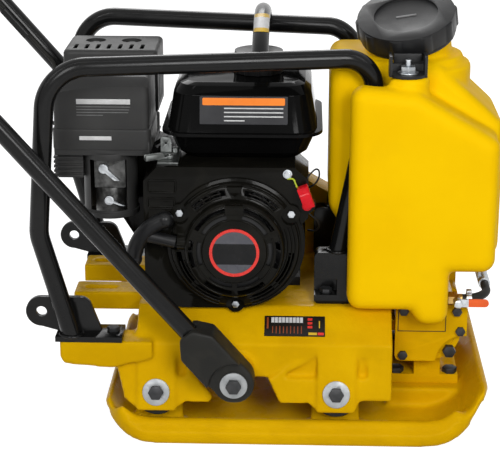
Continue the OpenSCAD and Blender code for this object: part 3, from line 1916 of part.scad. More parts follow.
// Route of the lower run: from the clip, under the muffler, to the stop on the engine
lower_pts = [
  pivot + [0, cable_y, 0] + (clip_at - 28) * arm_dir,
  pivot + [0, cable_y, 0] + (clip_at - 100) * arm_dir,
  [cleaner_rear - 53, 140, cleaner_low - 12],
  [cleaner_rear + 47, -20, cleaner_low - 12],
  [stop_x - 36, -36, cleaner_low - 12],
  [stop_x, -36, stop_z],
  [stop_x, stop_y + 3, stop_z]
];

module throttle_cable_lower() {
  color(rubber)
    bent_bar(lower_pts, [30, 40, 40, 30, 14], cable_d);
}

base_plate();
buffer_rubbers();
washers();
hex_bolts();
engine_bed();
chassis_bolts();
exciter_housing();
exciter_cover_right();
exciter_cover_left();
exciter_bearings();
exciter_bolts();
eccentric_shaft();
exciter_pulley();
drive_belt();
clutch_pulley();
belt_guard_back();
belt_guard();
crankcase();
crankshaft();
flywheel();
cylinder_barrel();
cylinder_head();
rocker_cover();
spark_plug();
oil_filler_plug();
fan_housing();
recoil_cover();
recoil_bolts();
starter_reel();
starter_grip();
engine_switch();
fuel_tank();
fuel_cap();
air_cleaner_base();
air_filter();
air_cleaner_cover();
carburettor();
choke_lever();
fuel_tap();
control_plate();
throttle_arm();
muffler();
muffler_guard();
roll_frame_right();
roll_frame_left();
lifting_arch();
frame_feet();
water_tank();
water_cap();
cap_strap();
water_tap();
tap_lever();
water_hose();
sprinkler_pipe();
handle_frame();
handle_boots();
handle_grip();
throttle_lever();
throttle_cable_upper();
throttle_cable_lower();
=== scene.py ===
"""Looks of a vibrating plate compactor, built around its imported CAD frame.

Every size is in metres and in the frame's own axes: X forwards, Y to the machine's left, Z up.
"""

from __future__ import annotations

import json
import logging
import math
from dataclasses import dataclass
from enum import Enum
from typing import Callable, Iterable, Sequence

import bpy
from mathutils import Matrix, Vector


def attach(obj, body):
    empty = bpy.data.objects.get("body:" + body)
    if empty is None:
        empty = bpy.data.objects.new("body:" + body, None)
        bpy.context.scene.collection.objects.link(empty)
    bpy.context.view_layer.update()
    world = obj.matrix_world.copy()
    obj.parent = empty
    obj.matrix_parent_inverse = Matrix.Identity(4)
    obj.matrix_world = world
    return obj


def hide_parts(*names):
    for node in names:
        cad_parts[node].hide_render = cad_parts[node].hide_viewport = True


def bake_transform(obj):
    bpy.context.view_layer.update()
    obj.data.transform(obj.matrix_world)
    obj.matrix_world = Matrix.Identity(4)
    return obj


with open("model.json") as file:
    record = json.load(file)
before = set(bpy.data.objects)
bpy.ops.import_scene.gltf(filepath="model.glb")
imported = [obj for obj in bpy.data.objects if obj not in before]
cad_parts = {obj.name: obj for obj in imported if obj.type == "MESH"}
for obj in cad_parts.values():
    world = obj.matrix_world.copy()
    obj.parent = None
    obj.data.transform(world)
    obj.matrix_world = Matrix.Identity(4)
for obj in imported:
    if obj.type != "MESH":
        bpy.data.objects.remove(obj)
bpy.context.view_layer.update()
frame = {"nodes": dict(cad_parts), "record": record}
LOG = logging.getLogger("compactor")

Pair = tuple[float, float]
Point = tuple[float, float, float]
Colour = tuple[float, float, float]
Corners = tuple[float, float, float, float]
Place = Sequence[float]
Piece = bpy.types.Object
Socket = bpy.types.NodeSocket
Test = Callable[[Vector, Vector], bool]
Where = Callable[[Vector], bool]

CRANK = Vector((-0.08, 0.0, 0.29))
AHEAD = (1.0, 0.0, 0.0)
RIGHT = (0.0, -1.0, 0.0)
UP = (0.0, 0.0, 1.0)
WHITE = (1.0, 1.0, 1.0, 1.0)
# Points nearer than this are one point.
MERGE = 0.00002
# A face looks in a direction if this much of its normal points there.
SQUARE = 0.9
# Edges sharper than this, in degrees, stay crisp on small hardware, on tubes and on flowing castings.
SOFT, ROUND, MELTED = 40.0, 60.0, 70.0


def any_face(middle: Vector, normal: Vector) -> bool:
    """Count every face."""
    return True


def right_face(middle: Vector, normal: Vector) -> bool:
    """Count the faces that look to the machine's right."""
    return normal.y < -SQUARE


def top_face(middle: Vector, normal: Vector) -> bool:
    """Count the faces that look up."""
    return normal.z > SQUARE


class Grain(Enum):
    """How a finish's small texture runs over the surface."""

    EVEN = (1.0, 1.0, 1.0)
    DRAWN_Y = (1.0, 0.08, 1.0)


class Nodes:
    """The nodes of one material or world while they are joined up."""

    def __init__(self, owner: bpy.types.Material | bpy.types.World) -> None:
        """Turn on an owner's nodes.

        Args:
            owner: The material or the world.
        """
        owner.use_nodes = True
        self.tree = owner.node_tree

    def add(self, kind: str, inputs: dict[str | int, object], **settings: object) -> bpy.types.Node:
        """Add one node with its inputs joined or set.

        Args:
            kind: The shader node's type.
            inputs: A source socket or a value for each input.
            settings: The node's own settings by name.

        Returns:
            The node.
        """
        node = self.tree.nodes.new(f"ShaderNode{kind}")
        for name, value in settings.items():
            setattr(node, name, value)
        self.feed(node, inputs)
        return node

    def feed(self, node: bpy.types.Node, inputs: dict[str | int, object]) -> None:
        """Join sockets to a node's inputs, or set their values.

        Args:
            node: The node.
            inputs: A source socket or a value for each input.
        """
        for name, value in inputs.items():
            if isinstance(value, Socket):
                self.tree.links.new(value, node.inputs[name])
            else:
                node.inputs[name].default_value = value

    def surface(self, inputs: dict[str | int, object]) -> None:
        """Feed the surface shader."""
        self.feed(self.tree.nodes["Principled BSDF"], inputs)


@dataclass(frozen=True)
class Finish:
    """One procedural surface finish.

    Attributes:
        name: Name of the material.
        colour: Main colour, linear RGB.
        shade: Second colour that the main one drifts towards.
        drift: Size of the colour drift, in patches per metre.
        rough: Lowest and highest roughness.
        rough_scale: Size of the roughness patches, per metre.
        metallic: Metal share of the surface.
        specular: Strength of the gloss of paint and plastic.
        tint: Colour of that gloss.
        bump: Height in metres of the small texture, and its patches per metre.
        grain: How the small texture runs.
        wave: Height in metres of the slow unevenness, and its patches per metre.
        grime: Share of the grime colour in the dirtiest patches.
        grime_colour: Colour of handling marks and dust.
        relief: Strength of both textures.
        drift_range: Range of the noise over which the colour drifts.
        rough_range: Range of the noise over which the roughness varies.
        grime_range: Range of the noise over which grime sets in.
        grime_finer: How many times finer the grime's patches are than the colour's.
        grime_twist: How far the grime's patches are pulled about.
    """

    name: str
    colour: Colour
    shade: Colour
    drift: float
    rough: Pair = (0.36, 0.46)
    rough_scale: float = 60.0
    metallic: float = 0.0
    specular: float = 0.4
    tint: Colour = (1.0, 1.0, 1.0)
    bump: Pair = (0.00002, 900.0)
    grain: Grain = Grain.EVEN
    wave: Pair = (0.0, 30.0)
    grime: float = 0.0
    grime_colour: Colour = (0.16, 0.1, 0.02)
    relief: float = 0.6
    drift_range: Pair = (0.38, 0.66)
    rough_range: Pair = (0.35, 0.65)
    grime_range: Pair = (0.54, 0.78)
    grime_finer: float = 1.7
    grime_twist: float = 0.6

    def make(self) -> bpy.types.Material:
        """Build the finish's material once, and hand back the same one after that.

        Returns:
            The material.
        """
        known = bpy.data.materials.get(self.name)
        if known is not None:
            return known
        material = bpy.data.materials.new(self.name)
        nodes = Nodes(material)
        place = nodes.add("TexCoord", {}).outputs["Object"]
        nodes.surface({
            "Metallic": self.metallic,
            "Specular IOR Level": self.specular,
            "Specular Tint": (*self.tint, 1.0),
            "Base Color": self._colour(nodes, place),
            "Roughness": self._span(nodes, self._noise(nodes, place, self.rough_scale, 5.0), self.rough_range,
                                    self.rough),
            "Normal": self._texture(nodes, place),
        })
        return material

    def _noise(self, nodes: Nodes, place: Socket, scale: float, detail: float, twist: float = 0.0) -> Socket:
        """Add a noise texture.

        Args:
            nodes: The material's nodes.
            place: Where the noise is looked up.
            scale: Patches per metre.
            detail: Octaves of the noise.
            twist: How far its patches are pulled about.

        Returns:
            The noise.
        """
        return nodes.add("TexNoise", {"Vector": place, "Scale": scale, "Detail": detail,
                                      "Distortion": twist}).outputs["Fac"]

    def _span(self, nodes: Nodes, noise: Socket, given: Pair, wanted: Pair) -> Socket:
        """Map a noise's middle range onto another range.

        Args:
            nodes: The material's nodes.
            noise: The noise.
            given: Range of the noise that counts.
            wanted: Range that it becomes.

        Returns:
            The mapped noise.
        """
        return nodes.add("MapRange", {"Value": noise, "From Min": given[0], "From Max": given[1], "To Min": wanted[0],
                                      "To Max": wanted[1]}).outputs["Result"]

    def _colour(self, nodes: Nodes, place: Socket) -> Socket:
        """Let the colour drift in soft patches, and lay grime over the patches that get handled.

        Args:
            nodes: The material's nodes.
            place: The texture coordinate.

        Returns:
            The colour.
        """
        share = self._span(nodes, self._noise(nodes, place, self.drift, 6.0), self.drift_range, (0.0, 1.0))
        drift = nodes.add("Mix", {"Factor": share, 6: (*self.colour, 1.0), 7: (*self.shade, 1.0)}, data_type="RGBA")
        if self.grime <= 0.0:
            return drift.outputs[2]
        patches = self._noise(nodes, place, self.grime_finer * self.drift, 9.0, self.grime_twist)
        share = self._span(nodes, patches, self.grime_range, (0.0, self.grime))
        return nodes.add("Mix", {"Factor": share, 6: drift.outputs[2], 7: (*self.grime_colour, 1.0)},
                         data_type="RGBA").outputs[2]

    def _texture(self, nodes: Nodes, place: Socket) -> Socket:
        """Raise the small texture over the slow unevenness of the surface.

        Args:
            nodes: The material's nodes.
            place: The texture coordinate.

        Returns:
            The surface's normal.
        """
        along = nodes.add("Mapping", {"Vector": place, "Scale": self.grain.value}).outputs["Vector"]
        inputs = {"Height": self._noise(nodes, along, self.bump[1], 3.0), "Distance": self.bump[0],
                  "Strength": self.relief}
        if self.wave[0] > 0.0:
            slow = {"Height": self._noise(nodes, place, self.wave[1], 2.0), "Distance": self.wave[0],
                    "Strength": self.relief}
            inputs["Normal"] = nodes.add("Bump", slow).outputs["Normal"]
        return nodes.add("Bump", inputs).outputs["Normal"]


WARM = (1.0, 0.8, 0.25)
OCHRE = (0.36, 0.2, 0.003)

CAST_YELLOW = Finish("cast_yellow_paint", (0.69, 0.395, 0.0012), (0.61, 0.34, 0.001), 11.0, (0.22, 0.38), 30.0,
                     specular=0.065, tint=WARM, bump=(0.00025, 420.0), wave=(0.0016, 60.0), grime=0.22,
                     grime_colour=OCHRE)
SHEET_YELLOW = Finish("sheet_yellow_paint", (0.8, 0.47, 0.0012), (0.74, 0.42, 0.001), 8.0, (0.22, 0.36), 22.0,
                      specular=0.06, tint=WARM, bump=(0.00012, 500.0), wave=(0.0004, 18.0), grime=0.15,
                      grime_colour=OCHRE)
MOULDED_YELLOW = Finish("moulded_yellow_tank", (0.91, 0.555, 0.001), (0.87, 0.515, 0.0008), 7.0, (0.46, 0.6), 18.0,
                        specular=0.06, tint=WARM, bump=(0.00012, 900.0), wave=(0.0012, 14.0), grime=0.1,
                        grime_colour=(0.46, 0.27, 0.01))
TUBE_BLACK = Finish("tube_black_powder", (0.0045, 0.0045, 0.0045), (0.007, 0.007, 0.007), 14.0, (0.16, 0.24), 35.0,
                    specular=0.17, bump=(0.00001, 700.0), grime=0.25, grime_colour=(0.022, 0.021, 0.018))
TANK_BLACK = Finish("tank_black_enamel", (0.0024, 0.0024, 0.0024), (0.004, 0.004, 0.004), 8.0, (0.05, 0.1), 16.0,
                    specular=0.05, bump=(0.00002, 300.0), wave=(0.0003, 20.0))
# The black leans slightly brown: painted reflection of the yellow parts round the housing, on real black enamel.
SHROUD_BLACK = Finish("shroud_black_enamel", (0.0044, 0.0041, 0.0032), (0.0075, 0.007, 0.0054), 12.0, (0.08, 0.16),
                      25.0, specular=0.07, bump=(0.00004, 400.0), wave=(0.0005, 60.0), grime=0.3,
                      grime_colour=(0.02, 0.018, 0.013))
ENGINE_BLACK = Finish("engine_black_paint", (0.006, 0.006, 0.006), (0.011, 0.0105, 0.01), 20.0, (0.3, 0.5), 40.0,
                      specular=0.12, bump=(0.0004, 380.0))
CAP_BLACK = Finish("cap_black_moulding", (0.0085, 0.0085, 0.009), (0.013, 0.013, 0.0135), 18.0, (0.34, 0.46), 45.0,
                   specular=0.22, bump=(0.00012, 1400.0), grime=0.2, grime_colour=(0.045, 0.044, 0.042))
GRIP_BLACK = Finish("grip_black_moulding", (0.0065, 0.0065, 0.007), (0.011, 0.011, 0.0115), 18.0, (0.28, 0.4), 45.0,
                    specular=0.18, bump=(0.00008, 1200.0))
GRAPHITE = Finish("graphite_moulding", (0.026, 0.0258, 0.0255), (0.036, 0.0358, 0.0352), 10.0, (0.4, 0.52), 30.0,
                  specular=0.2, bump=(0.00016, 1600.0), grime=0.15, grime_colour=(0.08, 0.078, 0.072))
RUBBER = Finish("black_rubber", (0.01, 0.0098, 0.0085), (0.015, 0.0146, 0.0125), 20.0, (0.46, 0.62), 40.0,
                specular=0.16, bump=(0.0002, 900.0), grime=0.25, grime_colour=(0.045, 0.041, 0.032))
ZINC = Finish("zinc_plate", (0.52, 0.54, 0.56), (0.36, 0.38, 0.4), 90.0, (0.24, 0.4), 120.0, 1.0,
              bump=(0.00008, 900.0))
DULL_ZINC = Finish("dull_zinc_plate", (0.2, 0.21, 0.205), (0.1, 0.105, 0.1), 60.0, (0.34, 0.5), 100.0, 1.0,
                   bump=(0.0001, 800.0))
WASHER_ZINC = Finish("washer_zinc_plate", (0.33, 0.34, 0.345), (0.24, 0.25, 0.255), 60.0, (0.42, 0.58), 90.0, 0.8,
                     bump=(0.0001, 1200.0), grain=Grain.DRAWN_Y)
DARK_STEEL = Finish("blackened_steel", (0.028, 0.029, 0.03), (0.05, 0.05, 0.052), 80.0, (0.36, 0.52), 150.0, 0.5,
                    specular=0.2, bump=(0.00008, 900.0))
# Grey far darker than bare alloy: painted shade, so that the carburettor reads dark and reflects little of the white
# surroundings.
SHADED_ALLOY = Finish("carburettor_alloy_painted_shade", (0.11, 0.11, 0.108), (0.03, 0.03, 0.029), 90.0, (0.32, 0.55), 60.0, 0.75,
                    bump=(0.0006, 300.0))
CAST_IRON = Finish("turned_iron", (0.16, 0.16, 0.165), (0.1, 0.095, 0.09), 30.0, (0.36, 0.55), 80.0, 0.9,
                   bump=(0.0003, 450.0))
HEAT_BLACK = Finish("heatproof_black", (0.018, 0.018, 0.0175), (0.028, 0.027, 0.026), 16.0, (0.44, 0.58), 40.0,
                    specular=0.2, bump=(0.0003, 1100.0))
BRASS = Finish("turned_brass", (0.62, 0.42, 0.15), (0.44, 0.29, 0.1), 70.0, (0.26, 0.42), 110.0, 1.0,
               bump=(0.0001, 800.0))
RED = Finish("red_moulding", (0.66, 0.006, 0.016), (0.54, 0.005, 0.011), 30.0, (0.2, 0.3), specular=0.16,
             bump=(0.00004, 600.0))
ORANGE = Finish("orange_moulding", (0.8, 0.115, 0.012), (0.68, 0.09, 0.01), 30.0, (0.28, 0.4), bump=(0.0001, 600.0))
WIRE_GREEN = Finish("yellow_green_wire", (0.42, 0.5, 0.02), (0.3, 0.4, 0.02), 120.0, (0.34, 0.46),
                    bump=(0.00004, 900.0))
FILTER_PAPER = Finish("pleated_paper", (0.66, 0.6, 0.42), (0.55, 0.5, 0.34), 60.0, (0.8, 0.9), 90.0,
                      bump=(0.0006, 1500.0))
RING_RED = Finish("red_badge_enamel", (0.72, 0.03, 0.02), (0.62, 0.024, 0.016), 60.0, (0.22, 0.32), 90.0)
BADGE_BLACK = Finish("black_badge_enamel", (0.0055, 0.0055, 0.006), (0.009, 0.009, 0.0095), 60.0, (0.2, 0.3), 90.0,
                     specular=0.15)
BADGE_GREY = Finish("grey_badge_enamel", (0.075, 0.075, 0.088), (0.092, 0.092, 0.104), 60.0, (0.24, 0.34), 90.0,
                    specular=0.2)
LABEL_GREY = Finish("grey_label_film", (0.034, 0.034, 0.037), (0.042, 0.042, 0.045), 30.0, (0.3, 0.4), specular=0.15)
LABEL_BLACK = Finish("black_label_film", (0.008, 0.0065, 0.005), (0.012, 0.01, 0.008), 30.0, (0.3, 0.42),
                     specular=0.15)
ORANGE_FILM = Finish("orange_label_film", (0.93, 0.235, 0.012), (0.84, 0.205, 0.01), 40.0, (0.3, 0.4))
LABEL_PALE = Finish("pale_label_ink", (0.62, 0.62, 0.62), (0.52, 0.52, 0.52), 80.0)
LABEL_DIM = Finish("dim_label_ink", (0.14, 0.14, 0.14), (0.1, 0.1, 0.1), 80.0, (0.4, 0.5))
LABEL_RUST = Finish("rust_label_ink", (0.26, 0.055, 0.012), (0.2, 0.04, 0.01), 80.0)
LABEL_YELLOW = Finish("yellow_label_ink", (0.66, 0.42, 0.02), (0.56, 0.35, 0.02), 80.0)


@dataclass(frozen=True)
class Skin:
    """How a CAD node whose form is right gets soft edges and a finish.

    Attributes:
        node: Name of the CAD node.
        finish: Its surface.
        edge: Width of its rounded edges, or 0 to leave them.
        segments: Faces across each rounding.
        angle: Edges sharper than this, in degrees, stay crisp in the shading.
    """

    node: str
    finish: Finish
    edge: float = 0.0
    segments: int = 2
    angle: float = 32.0


@dataclass(frozen=True)
class Turned:
    """A small round or many-sided zinc piece that stands on a CAD node.

    Attributes:
        name: Name of the piece.
        host: The CAD node that carries it.
        foot: Middle of its foot.
        along: Direction that it stands in.
        size: Its radius and height.
        sides: Number of its sides.
        turn: Turn about its own axis, in degrees.
        steps: Width and height of each step on its end.
        edge: Rounding of its edges.
        segments: Faces across the rounding.
        angle: Edges sharper than this, in degrees, stay crisp in the shading.
    """

    name: str
    host: str
    foot: Point
    along: Point
    size: Pair
    sides: int = 48
    turn: float = 0.0
    steps: tuple[Pair, ...] = ()
    edge: float = 0.0004
    segments: int = 2
    angle: float = 32.0


class Bench:
    """The hand tools: small steps that every sub-assembly models with."""

    @staticmethod
    def clear() -> None:
        """Leave edit mode and drop the selection."""
        if bpy.context.object is not None and bpy.context.object.mode != "OBJECT":
            bpy.ops.object.mode_set(mode="OBJECT")
        bpy.ops.object.select_all(action="DESELECT")

    @staticmethod
    def pick(piece: Piece) -> None:
        """Select one piece alone and make it active.

        Args:
            piece: The piece.
        """
        Bench.clear()
        piece.select_set(True)
        bpy.context.view_layer.objects.active = piece

    @staticmethod
    def copy_node(node: str, name: str = "") -> Piece:
        """Copy a CAD node's mesh into a new piece with its doubles merged.

        Args:
            node: Name of the CAD node.
            name: Name of the piece, or nothing to name it after the node.

        Returns:
            The new piece, at the origin.
        """
        source = frame["nodes"][node]
        piece = bpy.data.objects.new(name or f"{node}_skin", source.data.copy())
        bpy.context.collection.objects.link(piece)
        piece.data.materials.clear()
        Bench.pick(piece)
        bpy.ops.mesh.customdata_custom_splitnormals_clear()
        bpy.ops.object.mode_set(mode="EDIT")
        bpy.ops.mesh.select_all(action="SELECT")
        bpy.ops.mesh.remove_doubles(threshold=MERGE)
        bpy.ops.mesh.dissolve_limited(angle_limit=math.radians(0.6))
        bpy.ops.object.mode_set(mode="OBJECT")
        return piece

    @staticmethod
    def box(name: str, low: Place, high: Place, turn: Point = (0.0, 0.0, 0.0)) -> Piece:
        """Add a box between two corners, turned about its own middle.

        Args:
            name: Name of the piece.
            low: Lowest corner before the turn.
            high: Highest corner before the turn.
            turn: Turn about X, Y and Z in degrees.

        Returns:
            The piece, with its place in its mesh.
        """
        Bench.clear()
        middle = (Vector(low) + Vector(high)) / 2
        bpy.ops.mesh.primitive_cube_add(size=1.0, location=middle, rotation=[math.radians(a) for a in turn])
        piece = bpy.context.object
        piece.name = name
        piece.scale = Vector(high) - Vector(low)
        bpy.ops.object.transform_apply()
        return piece

    @staticmethod
    def slab(name: str, middle: Place, lean: float, place: Place, size: Place) -> Piece:
        """Add a box that leans with a face.

        Args:
            name: Name of the piece.
            middle: A point of the face.
            lean: Turn of the face about X, in degrees.
            place: The box's middle from that point, in the face's own axes.
            size: Its size in those axes.

        Returns:
            The piece, with its place in its mesh.
        """
        angle = math.radians(lean)
        along, ahead, up = place
        spot = Vector(middle) + Vector((along, ahead * math.cos(angle), ahead * math.sin(angle)))
        spot = spot + up * Vector((0.0, -math.sin(angle), math.cos(angle)))
        half = Vector(size) / 2
        return Bench.box(name, spot - half, spot + half, (lean, 0.0, 0.0))

    @staticmethod
    def disc(name: str, foot: Place, along: Place, radius: float, depth: float, sides: int = 48,
             turn: float = 0.0) -> Piece:
        """Add a round or many-sided block that stands on a point.

        Args:
            name: Name of the piece.
            foot: Middle of its foot.
            along: Direction that it stands in.
            radius: Radius to its corners.
            depth: Its height.
            sides: Number of sides.
            turn: Turn about its own axis, in degrees.

        Returns:
            The piece, with its place in its mesh.
        """
        Bench.clear()
        way = Vector(along).normalized()
        bpy.ops.mesh.primitive_cylinder_add(vertices=sides, radius=radius, depth=depth)
        piece = bpy.context.object
        piece.name = name
        piece.rotation_euler = (0.0, 0.0, math.radians(turn))
        bpy.ops.object.transform_apply()
        piece.rotation_mode = "QUATERNION"
        piece.rotation_quaternion = way.to_track_quat("Z", "Y")
        piece.location = Vector(foot) + way * depth / 2
        bpy.ops.object.transform_apply()
        return piece

    @staticmethod
    def unmark(piece: Piece, mode: str) -> None:
        """Drop all that is selected of a piece's mesh.

        Args:
            piece: The piece.
            mode: What is selected next: VERT, EDGE or FACE.
        """
        Bench.pick(piece)
        bpy.ops.object.mode_set(mode="EDIT")
        bpy.ops.mesh.select_mode(type=mode)
        bpy.ops.mesh.select_all(action="DESELECT")
        Bench.done()

    @staticmethod
    def faces(piece: Piece, test: Test) -> None:
        """Go into edit mode with only some faces selected.

        Args:
            piece: The piece.
            test: Says from a face's middle and normal if it counts.
        """
        Bench.unmark(piece, "FACE")
        for face in piece.data.polygons:
            face.select = test(face.center, face.normal)
        bpy.ops.object.mode_set(mode="EDIT")

    @staticmethod
    def edges(piece: Piece, test: Test) -> None:
        """Go into edit mode with only some edges selected.

        Args:
            piece: The piece.
            test: Says from an edge's two ends if it counts.
        """
        Bench.unmark(piece, "EDGE")
        points = piece.data.vertices
        for edge in piece.data.edges:
            edge.select = test(points[edge.vertices[0]].co, points[edge.vertices[1]].co)
        bpy.ops.object.mode_set(mode="EDIT")

    @staticmethod
    def sink(piece: Piece, test: Test, *steps: Pair) -> None:
        """Inset the faces that pass a test, and push them in or out.

        Args:
            piece: The piece.
            test: Says from a face's middle and normal if it counts.
            steps: Width of each new border, and how far the inner faces move out, or in if below 0.
        """
        Bench.faces(piece, test)
        for thickness, depth in steps:
            bpy.ops.mesh.inset(thickness=thickness, depth=depth, use_even_offset=True)
        Bench.done()

    @staticmethod
    def cut(piece: Piece, point: Place, normal: Place, drop: bool = False, fill: bool = False,
            test: Test = any_face) -> None:
        """Cut the faces that pass a test with a plane.

        Args:
            piece: The piece.
            point: A point of the plane.
            normal: The plane's normal.
            drop: Throw away what lies beyond the plane.
            fill: Close the cut.
            test: Says from a face's middle and normal if it counts.
        """
        Bench.faces(piece, test)
        bpy.ops.mesh.bisect(plane_co=point, plane_no=normal, clear_outer=drop, use_fill=fill)
        Bench.done()

    @staticmethod
    def bevel(piece: Piece, test: Test, width: float, segments: int) -> None:
        """Bevel the edges that pass a test.

        Args:
            piece: The piece.
            test: Says from an edge's two ends if it counts.
            width: Width of the bevel.
            segments: Faces across it.
        """
        Bench.edges(piece, test)
        bpy.ops.mesh.bevel(offset=width, segments=segments, affect="EDGES")
        Bench.done()

    @staticmethod
    def shift(piece: Piece, test: Test, way: Point) -> None:
        """Move the faces that pass a test.

        Args:
            piece: The piece.
            test: Says from a face's middle and normal if it counts.
            way: How far they move.
        """
        Bench.faces(piece, test)
        bpy.ops.transform.translate(value=way)
        Bench.done()

    @staticmethod
    def strip(piece: Piece, test: Test) -> None:
        """Delete the faces that pass a test.

        Args:
            piece: The piece.
            test: Says from a face's middle and normal if it counts.
        """
        Bench.faces(piece, test)
        bpy.ops.mesh.delete(type="FACE")
        Bench.done()

    @staticmethod
    def done() -> None:
        """Leave edit mode."""
        bpy.ops.object.mode_set(mode="OBJECT")

    @staticmethod
    def apply(piece: Piece, kind: str, **settings: object) -> None:
        """Add one modifier and apply it.

        Args:
            piece: The piece to finish.
            kind: The modifier's type.
            settings: The modifier's settings by name.
        """
        Bench.pick(piece)
        modifier = piece.modifiers.new(kind.title(), kind)
        for name, value in settings.items():
            setattr(modifier, name, value)
        bpy.ops.object.modifier_apply(modifier=modifier.name)

    @staticmethod
    def round_edges(piece: Piece, width: float, segments: int = 2, angle: float = 34.0) -> None:
        """Round a piece's sharp edges.

        Args:
            piece: The piece.
            width: Width of the rounding.
            segments: Faces across the rounding.
            angle: Edges sharper than this, in degrees, are rounded.
        """
        Bench.apply(piece, "BEVEL", width=width, segments=segments, limit_method="ANGLE",
                    angle_limit=math.radians(angle), use_clamp_overlap=True, miter_outer="MITER_ARC")

    @staticmethod
    def round_group(piece: Piece, width: float, segments: int, test: Where) -> None:
        """Round only the edges whose two ends pass a test.

        Args:
            piece: The piece.
            width: Width of the rounding.
            segments: Faces across the rounding.
            test: Says from a point's place if it counts.
        """
        group = piece.vertex_groups.new(name="rounded")
        group.add([point.index for point in piece.data.vertices if test(point.co)], 1.0, "REPLACE")
        Bench.apply(piece, "BEVEL", width=width, segments=segments, limit_method="VGROUP", vertex_group=group.name,
                    use_clamp_overlap=True)

    @staticmethod
    def melt(piece: Piece, voxel: float, passes: int) -> None:
        """Flow a piece's corners and joins together, as casting and moulding do.

        Args:
            piece: The piece.
            voxel: Grid of the new skin.
            passes: Smoothing passes.
        """
        Bench.apply(piece, "REMESH", mode="VOXEL", voxel_size=voxel, use_smooth_shade=True)
        Bench.apply(piece, "SMOOTH", iterations=passes)

    @staticmethod
    def soften(piece: Piece, passes: int, test: Where) -> None:
        """Smooth only the points that pass a test.

        Args:
            piece: The piece.
            passes: Smoothing passes.
            test: Says from a point's place if it counts.
        """
        group = piece.vertex_groups.new(name="softened")
        group.add([point.index for point in piece.data.vertices if test(point.co)], 1.0, "REPLACE")
        Bench.apply(piece, "SMOOTH", iterations=passes, vertex_group=group.name)

    @staticmethod
    def mend(piece: Piece) -> None:
        """Take out the faces and points that a wide rounding folded flat.

        Args:
            piece: The piece.
        """
        Bench.faces(piece, any_face)
        bpy.ops.mesh.dissolve_degenerate(threshold=MERGE)
        bpy.ops.mesh.select_all(action="SELECT")
        bpy.ops.mesh.remove_doubles(threshold=MERGE)
        Bench.done()
        piece.data.validate()

    @staticmethod
    def smooth(piece: Piece, angle: float = 32.0) -> None:
        """Shade a piece smooth, apart from edges sharper than an angle.

        Args:
            piece: The piece.
            angle: The angle in degrees.
        """
        Bench.pick(piece)
        bpy.ops.object.shade_smooth_by_angle(angle=math.radians(angle))

    @staticmethod
    def join(name: str, pieces: Sequence[Piece]) -> Piece:
        """Join pieces into one.

        Args:
            name: Name of the joined piece.
            pieces: The pieces.

        Returns:
            The joined piece.
        """
        Bench.pick(pieces[0])
        for piece in pieces[1:]:
            piece.select_set(True)
        if len(pieces) > 1:
            bpy.ops.object.join()
        pieces[0].name = name
        return pieces[0]

    @staticmethod
    def copies(piece: Piece, shifts: Iterable[Place]) -> list[Piece]:
        """Copy a piece, each copy with its own mesh.

        Args:
            piece: The piece that repeats.
            shifts: Where each copy goes, from the first.

        Returns:
            The first piece and its copies.
        """
        made = [piece]
        for shift in shifts:
            Bench.pick(piece)
            bpy.ops.object.duplicate(linked=False)
            copy = bpy.context.object
            copy.location = shift
            bpy.ops.object.transform_apply()
            made.append(copy)
        return made

    @staticmethod
    def rib(name: str, radius: float, depth: float, thick: float, spans: Sequence[Pair]) -> Piece:
        """Spin round ribs about the crank's axis.

        Args:
            name: Name of the piece.
            radius: Radius of the ribs about the crank.
            depth: Y of their middle line.
            thick: Radius of their section.
            spans: First and last angle of each rib in degrees, from X towards Z.

        Returns:
            The ribs as one piece.
        """
        ribs = []
        for first, last in spans:
            Bench.clear()
            turn = math.radians(first)
            place = (CRANK.x + radius * math.cos(turn), depth, CRANK.z + radius * math.sin(turn))
            bpy.ops.mesh.primitive_circle_add(vertices=12, radius=thick, location=place, rotation=(0.0, -turn, 0.0))
            rib = bpy.context.object
            bpy.ops.object.transform_apply()
            bpy.ops.object.mode_set(mode="EDIT")
            bpy.ops.mesh.select_all(action="SELECT")
            bpy.ops.mesh.spin(steps=max(6, int(last - first) // 4), angle=math.radians(last - first),
                              center=tuple(CRANK), axis=(0.0, 1.0, 0.0))
            bpy.ops.mesh.select_all(action="SELECT")
            bpy.ops.mesh.remove_doubles(threshold=MERGE)
            bpy.ops.mesh.fill_holes(sides=0)
            bpy.ops.mesh.select_all(action="SELECT")
            bpy.ops.mesh.normals_make_consistent(inside=False)
            Bench.done()
            ribs.append(rib)
        return Bench.join(name, ribs)

    @staticmethod
    def carve(piece: Piece, cutter: Piece) -> None:
        """Cut a piece with another, which is used up.

        Args:
            piece: The piece.
            cutter: What is cut away.
        """
        Bench.apply(piece, "BOOLEAN", operation="DIFFERENCE", object=cutter, solver="EXACT")
        bpy.data.objects.remove(cutter, do_unlink=True)

    @staticmethod
    def wire(name: str, points: Sequence[Point], diameter: float) -> Piece:
        """Lead a round wire smoothly through points.

        Args:
            name: Name of the piece.
            points: Its route.
            diameter: Its thickness.

        Returns:
            The wire as a mesh.
        """
        curve = bpy.data.curves.new(name, "CURVE")
        curve.dimensions = "3D"
        curve.bevel_depth = diameter / 2
        curve.bevel_resolution = 4
        curve.resolution_u = 10
        curve.use_fill_caps = True
        spline = curve.splines.new("BEZIER")
        spline.bezier_points.add(len(points) - 1)
        for knot, point in zip(spline.bezier_points, points):
            knot.co = point
            knot.handle_left_type = knot.handle_right_type = "AUTO"
        piece = bpy.data.objects.new(name, curve)
        bpy.context.collection.objects.link(piece)
        Bench.pick(piece)
        bpy.ops.object.convert(target="MESH")
        wire = bpy.context.object
        Bench.mend(wire)
        return wire


